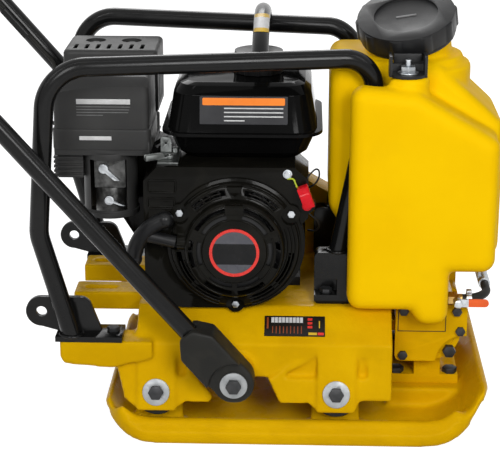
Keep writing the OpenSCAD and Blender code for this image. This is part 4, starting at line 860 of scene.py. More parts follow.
@dataclass
class Assembly:
    """What every sub-assembly can do with its pieces.

    Attributes:
        skins: The CAD nodes that only need soft edges and a finish.
        hardware: The nuts, washers and studs that the CAD part doesn't have.
    """

    skins: tuple[Skin, ...] = ()
    hardware: tuple[Turned, ...] = ()

    def build(self) -> None:
        """Dress the plain pieces, fit the hardware, then model the others."""
        for skin in self.skins:
            self.dress(skin)
        for part in self.hardware:
            self.fit(part)
        self.model()

    def model(self) -> None:
        """Model the pieces that need more than a skin; a plain sub-assembly has none."""

    def body_of(self, node: str) -> str:
        """Name the body that a CAD node belongs to.

        Args:
            node: Name of the CAD node.

        Returns:
            Name of its body.
        """
        bodies = frame["record"]["behaviour"]["bodies"]
        return next(body for body, nodes in bodies.items() if node in nodes)

    def slot_of(self, node: str) -> str:
        """Name the record's material slot of a CAD node.

        Args:
            node: Name of the CAD node.

        Returns:
            Name of its slot.
        """
        return next(row["material_slot"] for row in frame["record"]["subparts"] if row["node"] == node)

    def paint(self, piece: Piece, finishes: Sequence[Finish]) -> None:
        """Give a piece its finishes, and keep which face has which.

        Args:
            piece: The finished piece.
            finishes: Its surfaces, in the order of its material slots.
        """
        indices = [face.material_index for face in piece.data.polygons]
        piece.data.materials.clear()
        for finish in finishes:
            piece.data.materials.append(finish.make())
        for face, index in zip(piece.data.polygons, indices):
            face.material_index = index

    def settle(self, piece: Piece, finishes: Sequence[Finish], host: str, stands_for: bool = False) -> None:
        """Paint a piece and let it ride with a CAD node.

        Args:
            piece: The finished piece.
            finishes: Its surfaces, in the order of its material slots.
            host: The CAD node that carries it.
            stands_for: The piece takes that node's place.
        """
        self.paint(piece, finishes)
        if stands_for:
            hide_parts(host)
        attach(piece, self.body_of(host))
        LOG.info("%s rides on %s", piece.name, self.body_of(host))

    def dress(self, skin: Skin) -> None:
        """Give a CAD node whose form is right soft edges and a finish.

        Args:
            skin: The node and how it is dressed.
        """
        piece = Bench.copy_node(skin.node)
        if skin.edge > 0.0:
            Bench.round_edges(piece, skin.edge, skin.segments)
        Bench.smooth(piece, skin.angle)
        self.settle(piece, [skin.finish], skin.node, True)

    def fit(self, part: Turned) -> None:
        """Turn a piece of hardware and fit it to its CAD node.

        Args:
            part: The piece.
        """
        piece = Bench.disc(part.name, part.foot, part.along, *part.size, part.sides, part.turn)
        if part.steps:
            way = Vector(part.along)
            Bench.sink(piece, lambda middle, normal: normal.dot(way) > SQUARE, *part.steps)
        Bench.round_edges(piece, part.edge, part.segments)
        self.add(piece, ZINC, part.host, part.angle)

    def cast(self, piece: Piece, node: str, finish: Finish, voxel: float, passes: int) -> None:
        """Give a cast or moulded piece its flowing corners and let it stand for its CAD node.

        Args:
            piece: The node's copy, with what is cut from it.
            node: Name of the CAD node.
            finish: Its surface.
            voxel: Grid of the new skin.
            passes: Smoothing passes.
        """
        Bench.melt(piece, voxel, passes)
        Bench.smooth(piece, MELTED)
        self.settle(piece, [finish], node, True)

    def add(self, piece: Piece, finish: Finish, host: str, angle: float = 32.0) -> None:
        """Add a piece that the CAD part doesn't have.

        Args:
            piece: The modelled piece.
            finish: Its surface.
            host: The CAD node that carries it.
            angle: Edges sharper than this, in degrees, stay crisp in the shading.
        """
        Bench.smooth(piece, angle)
        self.settle(piece, [finish], host)


@dataclass
class Studio:
    """Camera, lamps, floor and background of the photograph.

    Attributes:
        image: Width and height of the photograph in pixels.
        focal_pixels: Focal length in pixels.
        eye: Place of the camera.
        pitch: How far the camera looks down, in degrees.
        yaw: How far the camera turns to the right, in degrees.
        sensor: Width of the camera's sensor in millimetres.
        far: How far the camera sees.
        floor_half: Half the floor's side.
        floor_drop: How far the floor lies below the sole.
        floor_colour: Grey of the floor.
        floor_lift: Share of plain white in what the camera sees of the floor.
        soft_light: Strength of the light from all round.
        aim: Where the lamps point.
        lamps: Name, place, width, height and watts of each lamp.
    """

    image: tuple[int, int] = (500, 450)
    focal_pixels: float = 1590.0
    eye: Point = (0.01802, -2.34346, 1.0583)
    pitch: float = 18.6
    yaw: float = -2.0
    sensor: float = 36.0
    far: float = 50.0
    floor_half: float = 6.0
    floor_drop: float = 0.0006
    floor_colour: float = 0.5
    floor_lift: float = 0.92
    soft_light: float = 0.13
    aim: Point = (-0.05, 0.0, 0.3)
    lamps: tuple[tuple[str, Point, float, float, float], ...] = (
        ("left_softbox", (-0.95, -3.2, 2.1), 1.0, 1.5, 44.0),
        ("right_softbox", (1.12, -3.15, 1.95), 1.1, 1.3, 68.0),
        ("top_strip", (-0.1, -0.75, 2.5), 1.9, 0.08, 3.0),
        ("right_strip", (1.45, -0.95, 1.8), 0.08, 1.2, 3.5),
        ("left_strip", (-1.6, -0.95, 1.8), 0.08, 1.2, 3.5),
        ("back_softbox", (-0.3, 2.6, 2.2), 1.6, 1.0, 26.0),
    )

    def build(self) -> None:
        """Set up the whole studio."""
        self._camera()
        self._floor()
        self._world()
        for lamp in self.lamps:
            self._lamp(*lamp)
        bpy.context.scene.view_settings.view_transform = "Standard"

    def _stand(self, data: bpy.types.Camera | bpy.types.Light, place: Point, way: Vector) -> Piece:
        """Stand a camera or a lamp in the scene.

        Args:
            data: The camera or the lamp.
            place: Where it stands.
            way: The direction that it looks in.

        Returns:
            Its object.
        """
        thing = bpy.data.objects.new(data.name, data)
        bpy.context.collection.objects.link(thing)
        thing.location = place
        thing.rotation_mode = "QUATERNION"
        thing.rotation_quaternion = way.to_track_quat("-Z", "Y")
        return thing

    def _camera(self) -> None:
        """Stand the camera where the photograph was taken."""
        data = bpy.data.cameras.new("photo_camera")
        data.sensor_width = self.sensor
        data.lens = self.sensor * self.focal_pixels / self.image[0]
        data.clip_end = self.far
        down, turn = math.radians(self.pitch), math.radians(self.yaw)
        ahead = Vector((math.sin(turn) * math.cos(down), math.cos(turn) * math.cos(down), -math.sin(down)))
        bpy.context.scene.camera = self._stand(data, self.eye, ahead)

    def _lamp(self, name: str, place: Point, width: float, height: float, power: float) -> None:
        """Hang one soft lamp that faces the machine.

        Args:
            name: Name of the lamp.
            place: Where it hangs.
            width: Its width.
            height: Its height.
            power: Its power in watts.
        """
        data = bpy.data.lights.new(name, "AREA")
        data.shape = "RECTANGLE"
        data.size, data.size_y, data.energy = width, height, power
        self._stand(data, place, Vector(self.aim) - Vector(place))

    def _seen(self, nodes: Nodes) -> Socket:
        """Tell the rays that look at the background from those that only carry light.

        Args:
            nodes: The nodes of the floor or the world.

        Returns:
            A socket that is 1 for the camera's, glossy and transmitted rays.
        """
        path = nodes.add("LightPath", {}).outputs
        seen = path["Is Camera Ray"]
        for ray in ("Is Glossy Ray", "Is Transmission Ray"):
            seen = nodes.add("Math", {0: seen, 1: path[ray]}, operation="MAXIMUM").outputs["Value"]
        return seen

    def _floor(self) -> None:
        """Lay the pale floor, which is lifted to white for the camera and keeps the shadow."""
        Bench.clear()
        bpy.ops.mesh.primitive_plane_add(size=2 * self.floor_half, location=(0.0, 0.0, -self.floor_drop))
        floor = bpy.context.object
        floor.name = "studio_floor"
        material = bpy.data.materials.new("pale_floor")
        nodes = Nodes(material)
        lift = nodes.add("Math", {0: self._seen(nodes), 1: self.floor_lift}, operation="MULTIPLY")
        nodes.surface({
            "Base Color": (self.floor_colour, self.floor_colour, self.floor_colour, 1.0),
            "Roughness": 0.9,
            "Specular IOR Level": 0.1,
            "Emission Color": WHITE,
            "Emission Strength": lift.outputs["Value"],
        })
        floor.data.materials.append(material)

    def _world(self) -> None:
        """Make the surroundings white to the camera and in reflections, and soft on the machine."""
        world = bpy.data.worlds.new("studio_world")
        bpy.context.scene.world = world
        nodes = Nodes(world)
        nodes.tree.nodes.clear()
        soft, white = (nodes.add("Background", {"Color": WHITE, "Strength": strength}).outputs["Background"]
                       for strength in (self.soft_light, 1.0))
        choose = nodes.add("MixShader", {"Fac": self._seen(nodes), 1: soft, 2: white})
        nodes.add("OutputWorld", {"Surface": choose.outputs["Shader"]})


@dataclass
class SolePlate(Assembly):
    """The cast sole plate with its rubbers and their bolts.

    Attributes:
        grid: Grid of the casting's skin.
        passes: Smoothing passes of the casting.
        run_out: Lowest and highest corner of the box where a rim's end runs out into the toe.
        run_out_passes: Smoothing passes there.
    """

    skins: tuple[Skin, ...] = (
        Skin("buffer_rubbers", RUBBER, 0.0025, 3), Skin("washers", WASHER_ZINC, 0.0006),
        Skin("hex_bolts", DARK_STEEL, 0.0008, 3),
    )
    grid: float = 0.0034
    passes: int = 14
    run_out: tuple[Point, Point] = ((0.218, 0.172, 0.032), (0.288, 0.2165, 0.08))
    run_out_passes: int = 60

    def model(self) -> None:
        """Flow the plate's casting together and let its rims run out."""
        plate = Bench.copy_node("base_plate")
        Bench.melt(plate, self.grid, self.passes)
        Bench.soften(plate, self.run_out_passes, self._runs_out)
        Bench.smooth(plate, MELTED)
        self.settle(plate, [CAST_YELLOW], "base_plate", True)

    def _runs_out(self, point: Vector) -> bool:
        """Say if a point lies where one of the four rim ends runs out.

        Args:
            point: The point.

        Returns:
            True at a rim's end.
        """
        low, high = self.run_out
        place = (abs(point.x), abs(point.y), point.z)
        return all(least < value < most for least, value, most in zip(low, place, high))


@dataclass
class EngineBed(Assembly):
    """The cast bed that carries the engine, with the bare label on its slope.

    Attributes:
        grid: Grid of the casting's skin.
        passes: Smoothing passes of the casting.
        face: Y of the skirt's right face at its fold.
        lean: How far that face leans out for each metre below the fold.
        fold: Z of the fold.
        pocket: Depth of the hollows beside the bolt pads.
        pocket_reach: How far the block that cuts a hollow stands out of the skirt.
        pockets: Lowest and highest X and Z of each hollow.
        gusset: Lowest and highest X and Z of the hollow under the slanting rib.
        gusset_edge: Two points of that rib's lower edge, in X and Z.
        label_middle: Middle of the label on the slope.
        label_size: Length, depth up the slope and thickness of the label.
        slope: Angle of the bed's slope in degrees.
        label_edge: Rounding of the label's edges.
        ink: Thickness of a printed bar.
        ink_lift: How far a bar's middle lies out of the label.
        marks: Name and finish of each set of bars, with each bar's place along and up, width and height.
    """

    skins: tuple[Skin, ...] = (Skin("chassis_bolts", DARK_STEEL, 0.0008, 3),)
    grid: float = 0.003
    passes: int = 6
    face: float = -0.19
    lean: float = 0.051
    fold: float = 0.148
    pocket: float = 0.0045
    pocket_reach: float = 0.03
    pockets: tuple[Corners, ...] = ((-0.165, 0.0985, -0.1515, 0.124), (0.1015, 0.0985, 0.116, 0.128))
    gusset: Corners = (-0.015, 0.0985, 0.0415, 0.133)
    gusset_edge: tuple[Pair, Pair] = ((-0.0218, 0.0925), (0.0782, 0.1526))
    label_middle: Point = (0.008, -0.1627, 0.16655)
    label_size: Point = (0.0895, 0.036, 0.001)
    slope: float = 33.9
    label_edge: float = 0.0004
    ink: float = 0.0003
    ink_lift: float = 0.0001
    marks: tuple[tuple[str, Finish, tuple[Corners, ...]], ...] = (
        ("bed_label_pale_bars", LABEL_PALE, tuple((-0.0325 + 0.0053 * i, 0.0105, 0.0044, 0.0095) for i in range(9))),
        ("bed_label_rust_bars", LABEL_RUST, (
            *((-0.0325 + 0.0053 * i, -0.007, 0.0014, 0.012 + 0.0008 * (i % 3)) for i in range(9)),
            (-0.04, 0.005, 0.0028, 0.02))),
        ("bed_label_red_pills", RING_RED, (
            *((0.0225, 0.012 - 0.0068 * i, 0.007, 0.0042) for i in range(3)), (0.0385, -0.0135, 0.009, 0.0045))),
        ("bed_label_yellow_bars", LABEL_YELLOW, ((0.0265, -0.0135, 0.0125, 0.0045), (0.0365, 0.003, 0.0018, 0.013))),
    )

    def model(self) -> None:
        """Build the bed and its label."""
        bed = Bench.copy_node("engine_bed")
        Bench.carve(bed, self._hollows())
        self.cast(bed, "engine_bed", CAST_YELLOW, self.grid, self.passes)
        self._label()

    def _hollow(self, left: float, low: float, right: float, high: float) -> Piece:
        """Model one hollow that leans as the skirt's face does.

        Args:
            left: Its lowest X.
            low: Its lowest Z.
            right: Its highest X.
            high: Its highest Z.

        Returns:
            The hollow as a block.
        """
        floor = self.face - self.lean * (self.fold - (low + high) / 2) + self.pocket
        return Bench.box("bed_hollows", (left, floor - self.pocket_reach, low), (right, floor, high),
                         (-math.degrees(math.atan(self.lean)), 0.0, 0.0))

    def _hollows(self) -> Piece:
        """Model what is missing from the skirt beside its bolt pads.

        Returns:
            The hollows as one piece.
        """
        boxes = [self._hollow(*corners) for corners in (*self.pockets, self.gusset)]
        (x0, z0), (x1, z1) = self.gusset_edge
        Bench.cut(boxes[-1], (x0, 0.0, z0), (z0 - z1, 0.0, x1 - x0), True, True)
        return Bench.join("bed_hollows", boxes)

    def _label(self) -> None:
        """Lay the dark label with a few plain bars on the slope."""
        thick = self.label_size[2]
        self._film("bed_label_film", LABEL_BLACK, [((0.0, 0.0, thick / 2), self.label_size)], self.label_edge, 2)
        for name, finish, bars in self.marks:
            boxes = [((along, up, thick + self.ink_lift), (width, height, self.ink))
                     for along, up, width, height in bars]
            self._film(name, finish, boxes, self.ink, 1)

    def _film(self, name: str, finish: Finish, boxes: Sequence[tuple[Point, Point]], edge: float,
              segments: int) -> None:
        """Lay one film, or a set of printed bars, on the slope.

        Args:
            name: Name of the piece.
            finish: Its surface.
            boxes: Middle and size of each of its boxes along X, up the slope and out of it.
            edge: Rounding of its edges.
            segments: Faces across the rounding.
        """
        made = [Bench.slab(name, self.label_middle, self.slope, place, size) for place, size in boxes]
        for piece in made:
            Bench.round_edges(piece, edge, segments)
        self.add(Bench.join(name, made), finish, "engine_bed")


@dataclass
class Exciter(Assembly):
    """The vibrating unit at the front: case, covers, shaft and its bare label.

    Attributes:
        cover_face: Y of the right cover's face.
        label_low: Lowest corner of the label.
        label_high: Highest corner of the label.
        label_line: Width of the label's outline.
        label_thick: Thickness of the label.
        label_dip: How far the label's field lies below its outline.
    """

    skins: tuple[Skin, ...] = (
        Skin("exciter_housing", CAST_YELLOW, 0.002, 3), Skin("exciter_cover_right", CAST_YELLOW, 0.0022, 3),
        Skin("exciter_cover_left", CAST_YELLOW, 0.0022, 3), Skin("exciter_bearings", ZINC, 0.0005),
        Skin("exciter_bolts", DARK_STEEL, 0.001, 3), Skin("eccentric_shaft", CAST_IRON, 0.0006),
    )
    cover_face: float = -0.105
    label_low: Pair = (0.1635, 0.1375)
    label_high: Pair = (0.2362, 0.1735)
    label_line: float = 0.0013
    label_thick: float = 0.0005
    label_dip: float = 0.0001

    def model(self) -> None:
        """Lay the clear label with its dark outline on the right cover."""
        (left, low), (right, high) = self.label_low, self.label_high
        plate = Bench.box("exciter_label_film", (left, self.cover_face - self.label_thick, low),
                          (right, self.cover_face, high))
        Bench.sink(plate, right_face, (self.label_line, -self.label_dip))
        for face in plate.data.polygons:
            inner = abs(face.center.x - (left + right) / 2) < 0.001
            face.material_index = 1 if inner and face.normal.y < -SQUARE and face.area > 0.001 else 0
        self.settle(plate, [LABEL_BLACK, CAST_YELLOW], "exciter_cover_right")


@dataclass
class BeltDrive(Assembly):
    """The belt, its pulleys and its guard on the left side."""

    skins: tuple[Skin, ...] = (
        Skin("exciter_pulley", CAST_IRON, 0.0006), Skin("clutch_pulley", CAST_IRON, 0.0006),
        Skin("drive_belt", RUBBER, 0.001), Skin("belt_guard_back", SHEET_YELLOW, 0.0006),
        Skin("belt_guard", SHEET_YELLOW, 0.001, 3),
    )


@dataclass
class EngineBlock(Assembly):
    """The crankcase with what turns in it, the cylinder and its head."""

    skins: tuple[Skin, ...] = (
        Skin("crankcase", ENGINE_BLACK, 0.0025, 3), Skin("crankshaft", ZINC, 0.0006),
        Skin("flywheel", CAST_IRON, 0.0006), Skin("cylinder_barrel", ENGINE_BLACK, 0.0006),
        Skin("cylinder_head", ENGINE_BLACK, 0.0006), Skin("rocker_cover", HEAT_BLACK, 0.004, 4),
        Skin("spark_plug", CAP_BLACK, 0.001), Skin("oil_filler_plug", CAP_BLACK, 0.0012),
    )


@dataclass
class Starter(Assembly):
    """The fan housing and the starter: cover, badge, pull grip, switch and wires.

    Attributes:
        face: Y of the fan housing's front.
        hub_face: Y of the starter cover's hub.
        badge_radius: Radius of the badge.
        badge_thick: Thickness of the badge.
        badge_ring: Width of the badge's red ring.
        badge_dish: Width and depth of the step inside that ring.
        badge_bands: Heights, from the hub's middle, that the badge's grey parts start at.
        louvres: Lowest and highest corner of each pressed louvre, in X and Z.
        louvre_depth: How far a louvre stands out of the housing and reaches into it.
        louvre_corner: Rounding of a louvre's corners.
        louvre_rim: Width of a louvre's rim.
        louvre_dish: Width and depth of the step inside that rim.
        ribs: Radius, Y and section radius of each row of ribs on the cover.
        rib_spans: First and last angle of the ribs of a row.
        knob_middle: Middle of the switch's knob.
        knob_size: Width, depth and height of the knob.
        knob_lean: Lean of the knob in degrees.
        knob_cuts: Shares of the knob's height, from its middle, where its two presses start.
        knob_dish: Width and depth of the step round the upper press.
        knob_step: How far the lower press is pushed in.
        knob_edge: Rounding of the knob.
        knob_foot: Middle of the knob's round foot.
        foot_size: Radius and height of that foot.
        wire: Thickness of the switch's wires.
        wires: Name, finish and route of each wire.
    """

    skins: tuple[Skin, ...] = (
        Skin("fan_housing", SHROUD_BLACK, 0.003, 4), Skin("recoil_cover", SHROUD_BLACK, 0.0009),
        Skin("recoil_bolts", ZINC, 0.0006, 3), Skin("starter_reel", CAP_BLACK, 0.0006),
        Skin("starter_grip", GRIP_BLACK),
    )
    hardware: tuple[Turned, ...] = (
        Turned("housing_washer", "fan_housing", (-0.0045, -0.145, 0.396), RIGHT, (0.0068, 0.0014)),
        Turned("housing_bolt_head", "fan_housing", (-0.0045, -0.1464, 0.396), RIGHT, (0.0054, 0.0046), 6, 14.0,
               ((0.0022, -0.0008),), 0.0006, 3, SOFT),
    )
    face: float = -0.145
    hub_face: float = -0.188
    badge_radius: float = 0.0362
    badge_thick: float = 0.0016
    badge_ring: float = 0.0042
    badge_dish: Pair = (0.0003, -0.0006)
    badge_bands: Pair = (0.0135, -0.018)
    louvres: tuple[Corners, ...] = ((-0.2092, 0.365, -0.1655, 0.3862), (-0.2092, 0.3412, -0.1672, 0.359))
    louvre_depth: Pair = (0.0022, 0.002)
    louvre_corner: float = 0.0045
    louvre_rim: float = 0.002
    louvre_dish: Pair = (0.001, -0.0026)
    ribs: tuple[Point, ...] = (
        (0.0482, -0.1845, 0.0011), (0.058, -0.1846, 0.0014), (0.069, -0.1832, 0.0012), (0.0775, -0.1634, 0.0012),
        (0.0832, -0.1622, 0.0013), (0.0885, -0.1612, 0.0012), (0.0945, -0.1572, 0.0012),
    )
    rib_spans: tuple[Pair, ...] = ((-75.0, 22.0), (44.0, 76.0), (104.0, 136.0), (196.0, 255.0))
    knob_middle: Point = (0.0222, -0.164, 0.368)
    knob_size: Point = (0.0158, 0.017, 0.032)
    knob_lean: float = -20.5
    knob_cuts: Pair = (0.15, -0.2)
    knob_dish: Pair = (0.0016, -0.0014)
    knob_step: float = 0.002
    knob_edge: float = 0.0016
    knob_foot: Point = (0.024, -0.1514, 0.352)
    foot_size: Pair = (0.0072, 0.008)
    wire: float = 0.0026
    wires: tuple[tuple[str, Finish, tuple[Point, ...]], ...] = (
        ("switch_earth_wire", WIRE_GREEN, (
            (-0.0045, -0.149, 0.39), (0.004, -0.153, 0.3905), (0.0075, -0.155, 0.384), (0.0105, -0.156, 0.379),
            (0.0155, -0.157, 0.38))),
        ("switch_lead_upper", GRIP_BLACK, (
            (0.02, -0.144, 0.372), (0.023, -0.14, 0.386), (0.03, -0.133, 0.395), (0.0385, -0.127, 0.3985),
            (0.0415, -0.124, 0.389), (0.037, -0.122, 0.377), (0.029, -0.118, 0.369), (0.02, -0.112, 0.362))),
        ("switch_lead_lower", GRIP_BLACK, (
            (0.023, -0.146, 0.343), (0.03, -0.142, 0.333), (0.039, -0.136, 0.324), (0.042, -0.128, 0.312),
            (0.037, -0.118, 0.302), (0.026, -0.1, 0.296))),
    )

    def model(self) -> None:
        """Build the badge, the ribs, the louvres, the switch and its wires."""
        self._badge()
        rows = [Bench.rib("cover_ribs", radius, depth, thick, self.rib_spans) for radius, depth, thick in self.ribs]
        self.add(Bench.join("cover_ribs", rows), SHROUD_BLACK, "recoil_cover", 50.0)
        self._louvres()
        self._switch()
        for name, finish, route in self.wires:
            self.add(Bench.wire(name, route, self.wire), finish, "fan_housing", ROUND)

    def _badge(self) -> None:
        """Model the bare badge: a red ring around a dark face with two grey parts."""
        badge = Bench.disc("starter_badge", (CRANK.x, self.hub_face, CRANK.z), RIGHT, self.badge_radius,
                           self.badge_thick, 96)
        Bench.sink(badge, right_face, (self.badge_ring, 0.0), self.badge_dish)
        inner = self.badge_radius - self.badge_ring - 0.0004
        for height in self.badge_bands:
            Bench.cut(badge, (CRANK.x, 0.0, CRANK.z + height), UP,
                      test=lambda middle, normal: normal.y < -SQUARE and (middle - CRANK).xz.length < inner)
        for face in badge.data.polygons:
            offset = face.center - Vector((CRANK.x, face.center.y, CRANK.z))
            grey = offset.z > self.badge_bands[0] or offset.z < self.badge_bands[1]
            face.material_index = (2 if grey else 1) if face.normal.y < -SQUARE and offset.length < inner else 0
        Bench.smooth(badge, SOFT)
        self.settle(badge, [RING_RED, BADGE_BLACK, BADGE_GREY], "recoil_cover")

    def _louvres(self) -> None:
        """Set the two closed louvres on the housing's upper corner."""
        for number, (left, low, right, high) in enumerate(self.louvres, 1):
            bar = Bench.box(f"housing_louvre_{number}", (left, self.face - self.louvre_depth[0], low),
                            (right, self.face + self.louvre_depth[1], high))
            Bench.bevel(bar, lambda a, b: abs(a.y - b.y) > 0.001, self.louvre_corner, 5)
            Bench.sink(bar, right_face, (self.louvre_rim, 0.0), self.louvre_dish)
            Bench.round_edges(bar, 0.0007, 3)
            self.add(bar, SHROUD_BLACK, "fan_housing", SOFT)

    def _switch(self) -> None:
        """Model the red rocker knob of the engine switch on its round foot."""
        middle, half = Vector(self.knob_middle), Vector(self.knob_size) / 2
        knob = Bench.box("switch_knob", middle - half, middle + half, (0.0, self.knob_lean, 0.0))
        lean = math.radians(self.knob_lean)
        up = Vector((math.sin(lean), 0.0, math.cos(lean)))
        upper, lower = (share * self.knob_size[2] for share in self.knob_cuts)
        Bench.faces(knob, any_face)
        for height in (upper, lower):
            bpy.ops.mesh.bisect(plane_co=middle + height * up, plane_no=up)
        Bench.sink(knob, lambda face, normal: normal.y < -SQUARE and (face - middle).dot(up) > upper,
                   self.knob_dish)
        Bench.shift(knob, lambda face, normal: normal.y < -SQUARE and (face - middle).dot(up) < lower,
                    (0.0, self.knob_step, 0.0))
        Bench.round_edges(knob, self.knob_edge, 3, 25.0)
        foot = Bench.disc("switch_foot", self.knob_foot, RIGHT, *self.foot_size, 40)
        Bench.round_edges(foot, 0.001, 3)
        switch = Bench.join("engine_switch_knob", [knob, foot])
        reach, front = self.foot_size[0] + 0.0002, self.knob_foot[1] - 0.0038
        for face in switch.data.polygons:
            offset = (face.center - Vector(self.knob_foot)).xz
            face.material_index = 1 if offset.length < reach and face.center.y > front else 0
        Bench.smooth(switch, SOFT)
        self.settle(switch, [RED, CAP_BLACK], "engine_switch", True)


@dataclass
class FuelTank(Assembly):
    """The fuel tank with its cap and its bare label.

    Attributes:
        edge: Rounding of the shell's edges.
        lean: Lean of the tank's right face, in degrees.
        label_middle: Middle of the label on that face.
        films: Name and finish of each film, its place along and up, its width and height, and how far its back and
            its front lie out of the face.
        corner: Rounding of a film's corners.
    """

    skins: tuple[Skin, ...] = (Skin("fuel_cap", CAP_BLACK, 0.0016, 3),)
    edge: float = 0.006
    lean: float = -9.13
    label_middle: Point = (-0.0691, -0.1113, 0.4814)
    films: tuple[tuple[str, Finish, Pair, Pair, Pair], ...] = (
        ("fuel_label_film", LABEL_GREY, (0.0, 0.0), (0.1275, 0.0405), (0.0002, 0.0008)),
        ("fuel_label_band", ORANGE_FILM, (0.0, 0.0127), (0.1195, 0.0106), (0.0008, 0.0012)),
        ("fuel_label_line_1", LABEL_PALE, (0.0145, 0.003), (0.086, 0.0017), (0.0008, 0.0011)),
        ("fuel_label_line_2", LABEL_PALE, (0.0145, -0.003), (0.086, 0.0017), (0.0008, 0.0011)),
        ("fuel_label_line_3", LABEL_PALE, (0.0145, -0.009), (0.086, 0.0017), (0.0008, 0.0011)),
        ("fuel_label_line_4", LABEL_PALE, (-0.0135, -0.015), (0.03, 0.0017), (0.0008, 0.0011)),
    )
    corner: float = 0.0016

    def model(self) -> None:
        """Build the tank and its label."""
        tank = Bench.copy_node("fuel_tank")
        Bench.round_edges(tank, self.edge, 4, 12.0)
        Bench.smooth(tank, 45.0)
        self.settle(tank, [TANK_BLACK], "fuel_tank", True)
        for film in self.films:
            self._film(*film)

    def _film(self, name: str, finish: Finish, place: Pair, size: Pair, lift: Pair) -> None:
        """Lay one film on the tank's leaning face.

        Args:
            name: Name of the film.
            finish: Its surface.
            place: Its middle ahead of the label's middle, and up the face.
            size: Its width and height.
            lift: Distance of its back and its front out of the face.
        """
        low, high = lift
        near = 2 * (high - low)
        film = Bench.slab(name, self.label_middle, self.lean, (place[0], -(low + high) / 2, place[1]),
                          (size[0], high - low, size[1]))
        Bench.bevel(film, lambda a, b: abs(a.y - b.y) < near and abs(a.x - b.x) < 0.0001 and abs(a.z - b.z) < near,
                    min(self.corner, 0.3 * size[1]), 4)
        self.add(film, finish, "fuel_tank")


@dataclass
class Intake(Assembly):
    """The air cleaner and the carburettor.

    Attributes:
        low: Lowest corner of the cover.
        high: Highest corner of the cover.
        chamfer: Width of the cover's front chamfer.
        arch: X of each cut of the cover and how far the chamfer's lower edge rises there.
        corner: Rounding of the cover.
        band_low: Lowest corner of the proud band round the cover's foot.
        band_high: Highest corner of that band.
        band_corner: Rounding of that band's corners.
        band_rim: Width and height of the step on that band's top.
        crease: Rounding of the cover's remaining edges.
        bar: X and Z of the pale bar's corners.
        mark: X and Z of the lower pale bar's corners.
        lines: Distance below the bar of the first dim line's foot and top, and from line to line.
        line_ends: How far each dim line ends before the bar does.
    """

    skins: tuple[Skin, ...] = (
        Skin("air_cleaner_base", GRAPHITE, 0.0012), Skin("air_filter", FILTER_PAPER, 0.001),
        # The carburettor's alloy is darkened to painted shade.
        Skin("carburettor", SHADED_ALLOY, 0.0012), Skin("choke_lever", ZINC, 0.0005), Skin("fuel_tap", ZINC, 0.0005),
    )
    low: Point = (-0.347, -0.112, 0.4322)
    high: Point = (-0.207, 0.002, 0.526)
    chamfer: float = 0.02
    arch: tuple[Pair, ...] = (
        (-0.347, -0.002), (-0.335, 0.001), (-0.315, 0.0045), (-0.29, 0.0072), (-0.26, 0.009), (-0.235, 0.0098),
        (-0.22, 0.0098), (-0.207, 0.009),
    )
    corner: float = 0.009
    band_low: Point = (-0.3492, -0.1142, 0.4205)
    band_high: Point = (-0.2048, 0.003, 0.4505)
    band_corner: float = 0.011
    band_rim: Pair = (0.0022, 0.0012)
    crease: float = 0.0014
    bar: Corners = (-0.3123, 0.489, -0.2337, 0.4966)
    mark: Corners = (-0.309, 0.4355, -0.262, 0.4415)
    lines: tuple[float, float, float] = (0.0045, 0.0033, 0.0042)
    line_ends: tuple[float, ...] = (0.0, 0.0015, 0.003, 0.04)

    def model(self) -> None:
        """Build the cover, its band and its labels."""
        self._cover()
        self._band()
        self._labels()

    def _cover(self) -> None:
        """Model the cover: a box with an arched front chamfer and soft corners."""
        cover = Bench.box("air_cleaner_cover_skin", self.low, self.high)
        for place, _ in self.arch[1:-1]:
            Bench.cut(cover, (place, 0.0, 0.0), AHEAD)
        top, front = self.high[2] - 0.0005, self.low[1] + 0.0005
        Bench.bevel(cover, lambda a, b: min(a.z, b.z) > top and max(a.y, b.y) < front, self.chamfer, 1)
        ridge = self.high[2] - self.chamfer
        for place, lift in self.arch:
            Bench.unmark(cover, "VERT")
            for point in cover.data.vertices:
                near = abs(point.co.x - place) < 0.0008 and abs(point.co.z - ridge) < 0.004
                point.select = near and point.co.y < front
            bpy.ops.object.mode_set(mode="EDIT")
            bpy.ops.transform.translate(value=(0.0, 0.0, lift))
            Bench.done()
        Bench.round_edges(cover, self.corner, 5, 70.0)
        Bench.round_edges(cover, self.crease, 3, 20.0)
        Bench.smooth(cover, 35.0)
        self.settle(cover, [GRAPHITE], "air_cleaner_cover", True)

    def _band(self) -> None:
        """Model the proud band round the cover's foot."""
        band = Bench.box("air_cleaner_band", self.band_low, self.band_high)
        Bench.bevel(band, lambda a, b: abs(a.z - b.z) > 0.01, self.band_corner, 6)
        Bench.sink(band, top_face, self.band_rim)
        Bench.round_edges(band, 0.0012, 3, SOFT)
        self.add(band, GRAPHITE, "air_cleaner_base", SOFT)

    def _labels(self) -> None:
        """Lay the bare pale bars on the cover and on its band, and the dim lines under the upper one."""
        for name, (left, low, right, high), face in (("cleaner_label_bar", self.bar, self.low[1]),
                                                     ("cleaner_foot_bar", self.mark, self.band_low[1])):
            bar = Bench.box(name, (left, face - 0.0004, low), (right, face + 0.0004, high))
            Bench.round_edges(bar, 0.0003)
            self.add(bar, LABEL_PALE, "air_cleaner_cover")
        face, (left, low, right, _), (foot, top, step) = self.low[1], self.bar, self.lines
        lines = [Bench.box("cleaner_label_lines", (left, face - 0.0003, low - foot - step * row),
                           (right - end, face + 0.0003, low - top - step * row))
                 for row, end in enumerate(self.line_ends)]
        joined = Bench.join("cleaner_label_lines", lines)
        Bench.round_edges(joined, 0.0002, 1)
        self.add(joined, LABEL_DIM, "air_cleaner_cover")


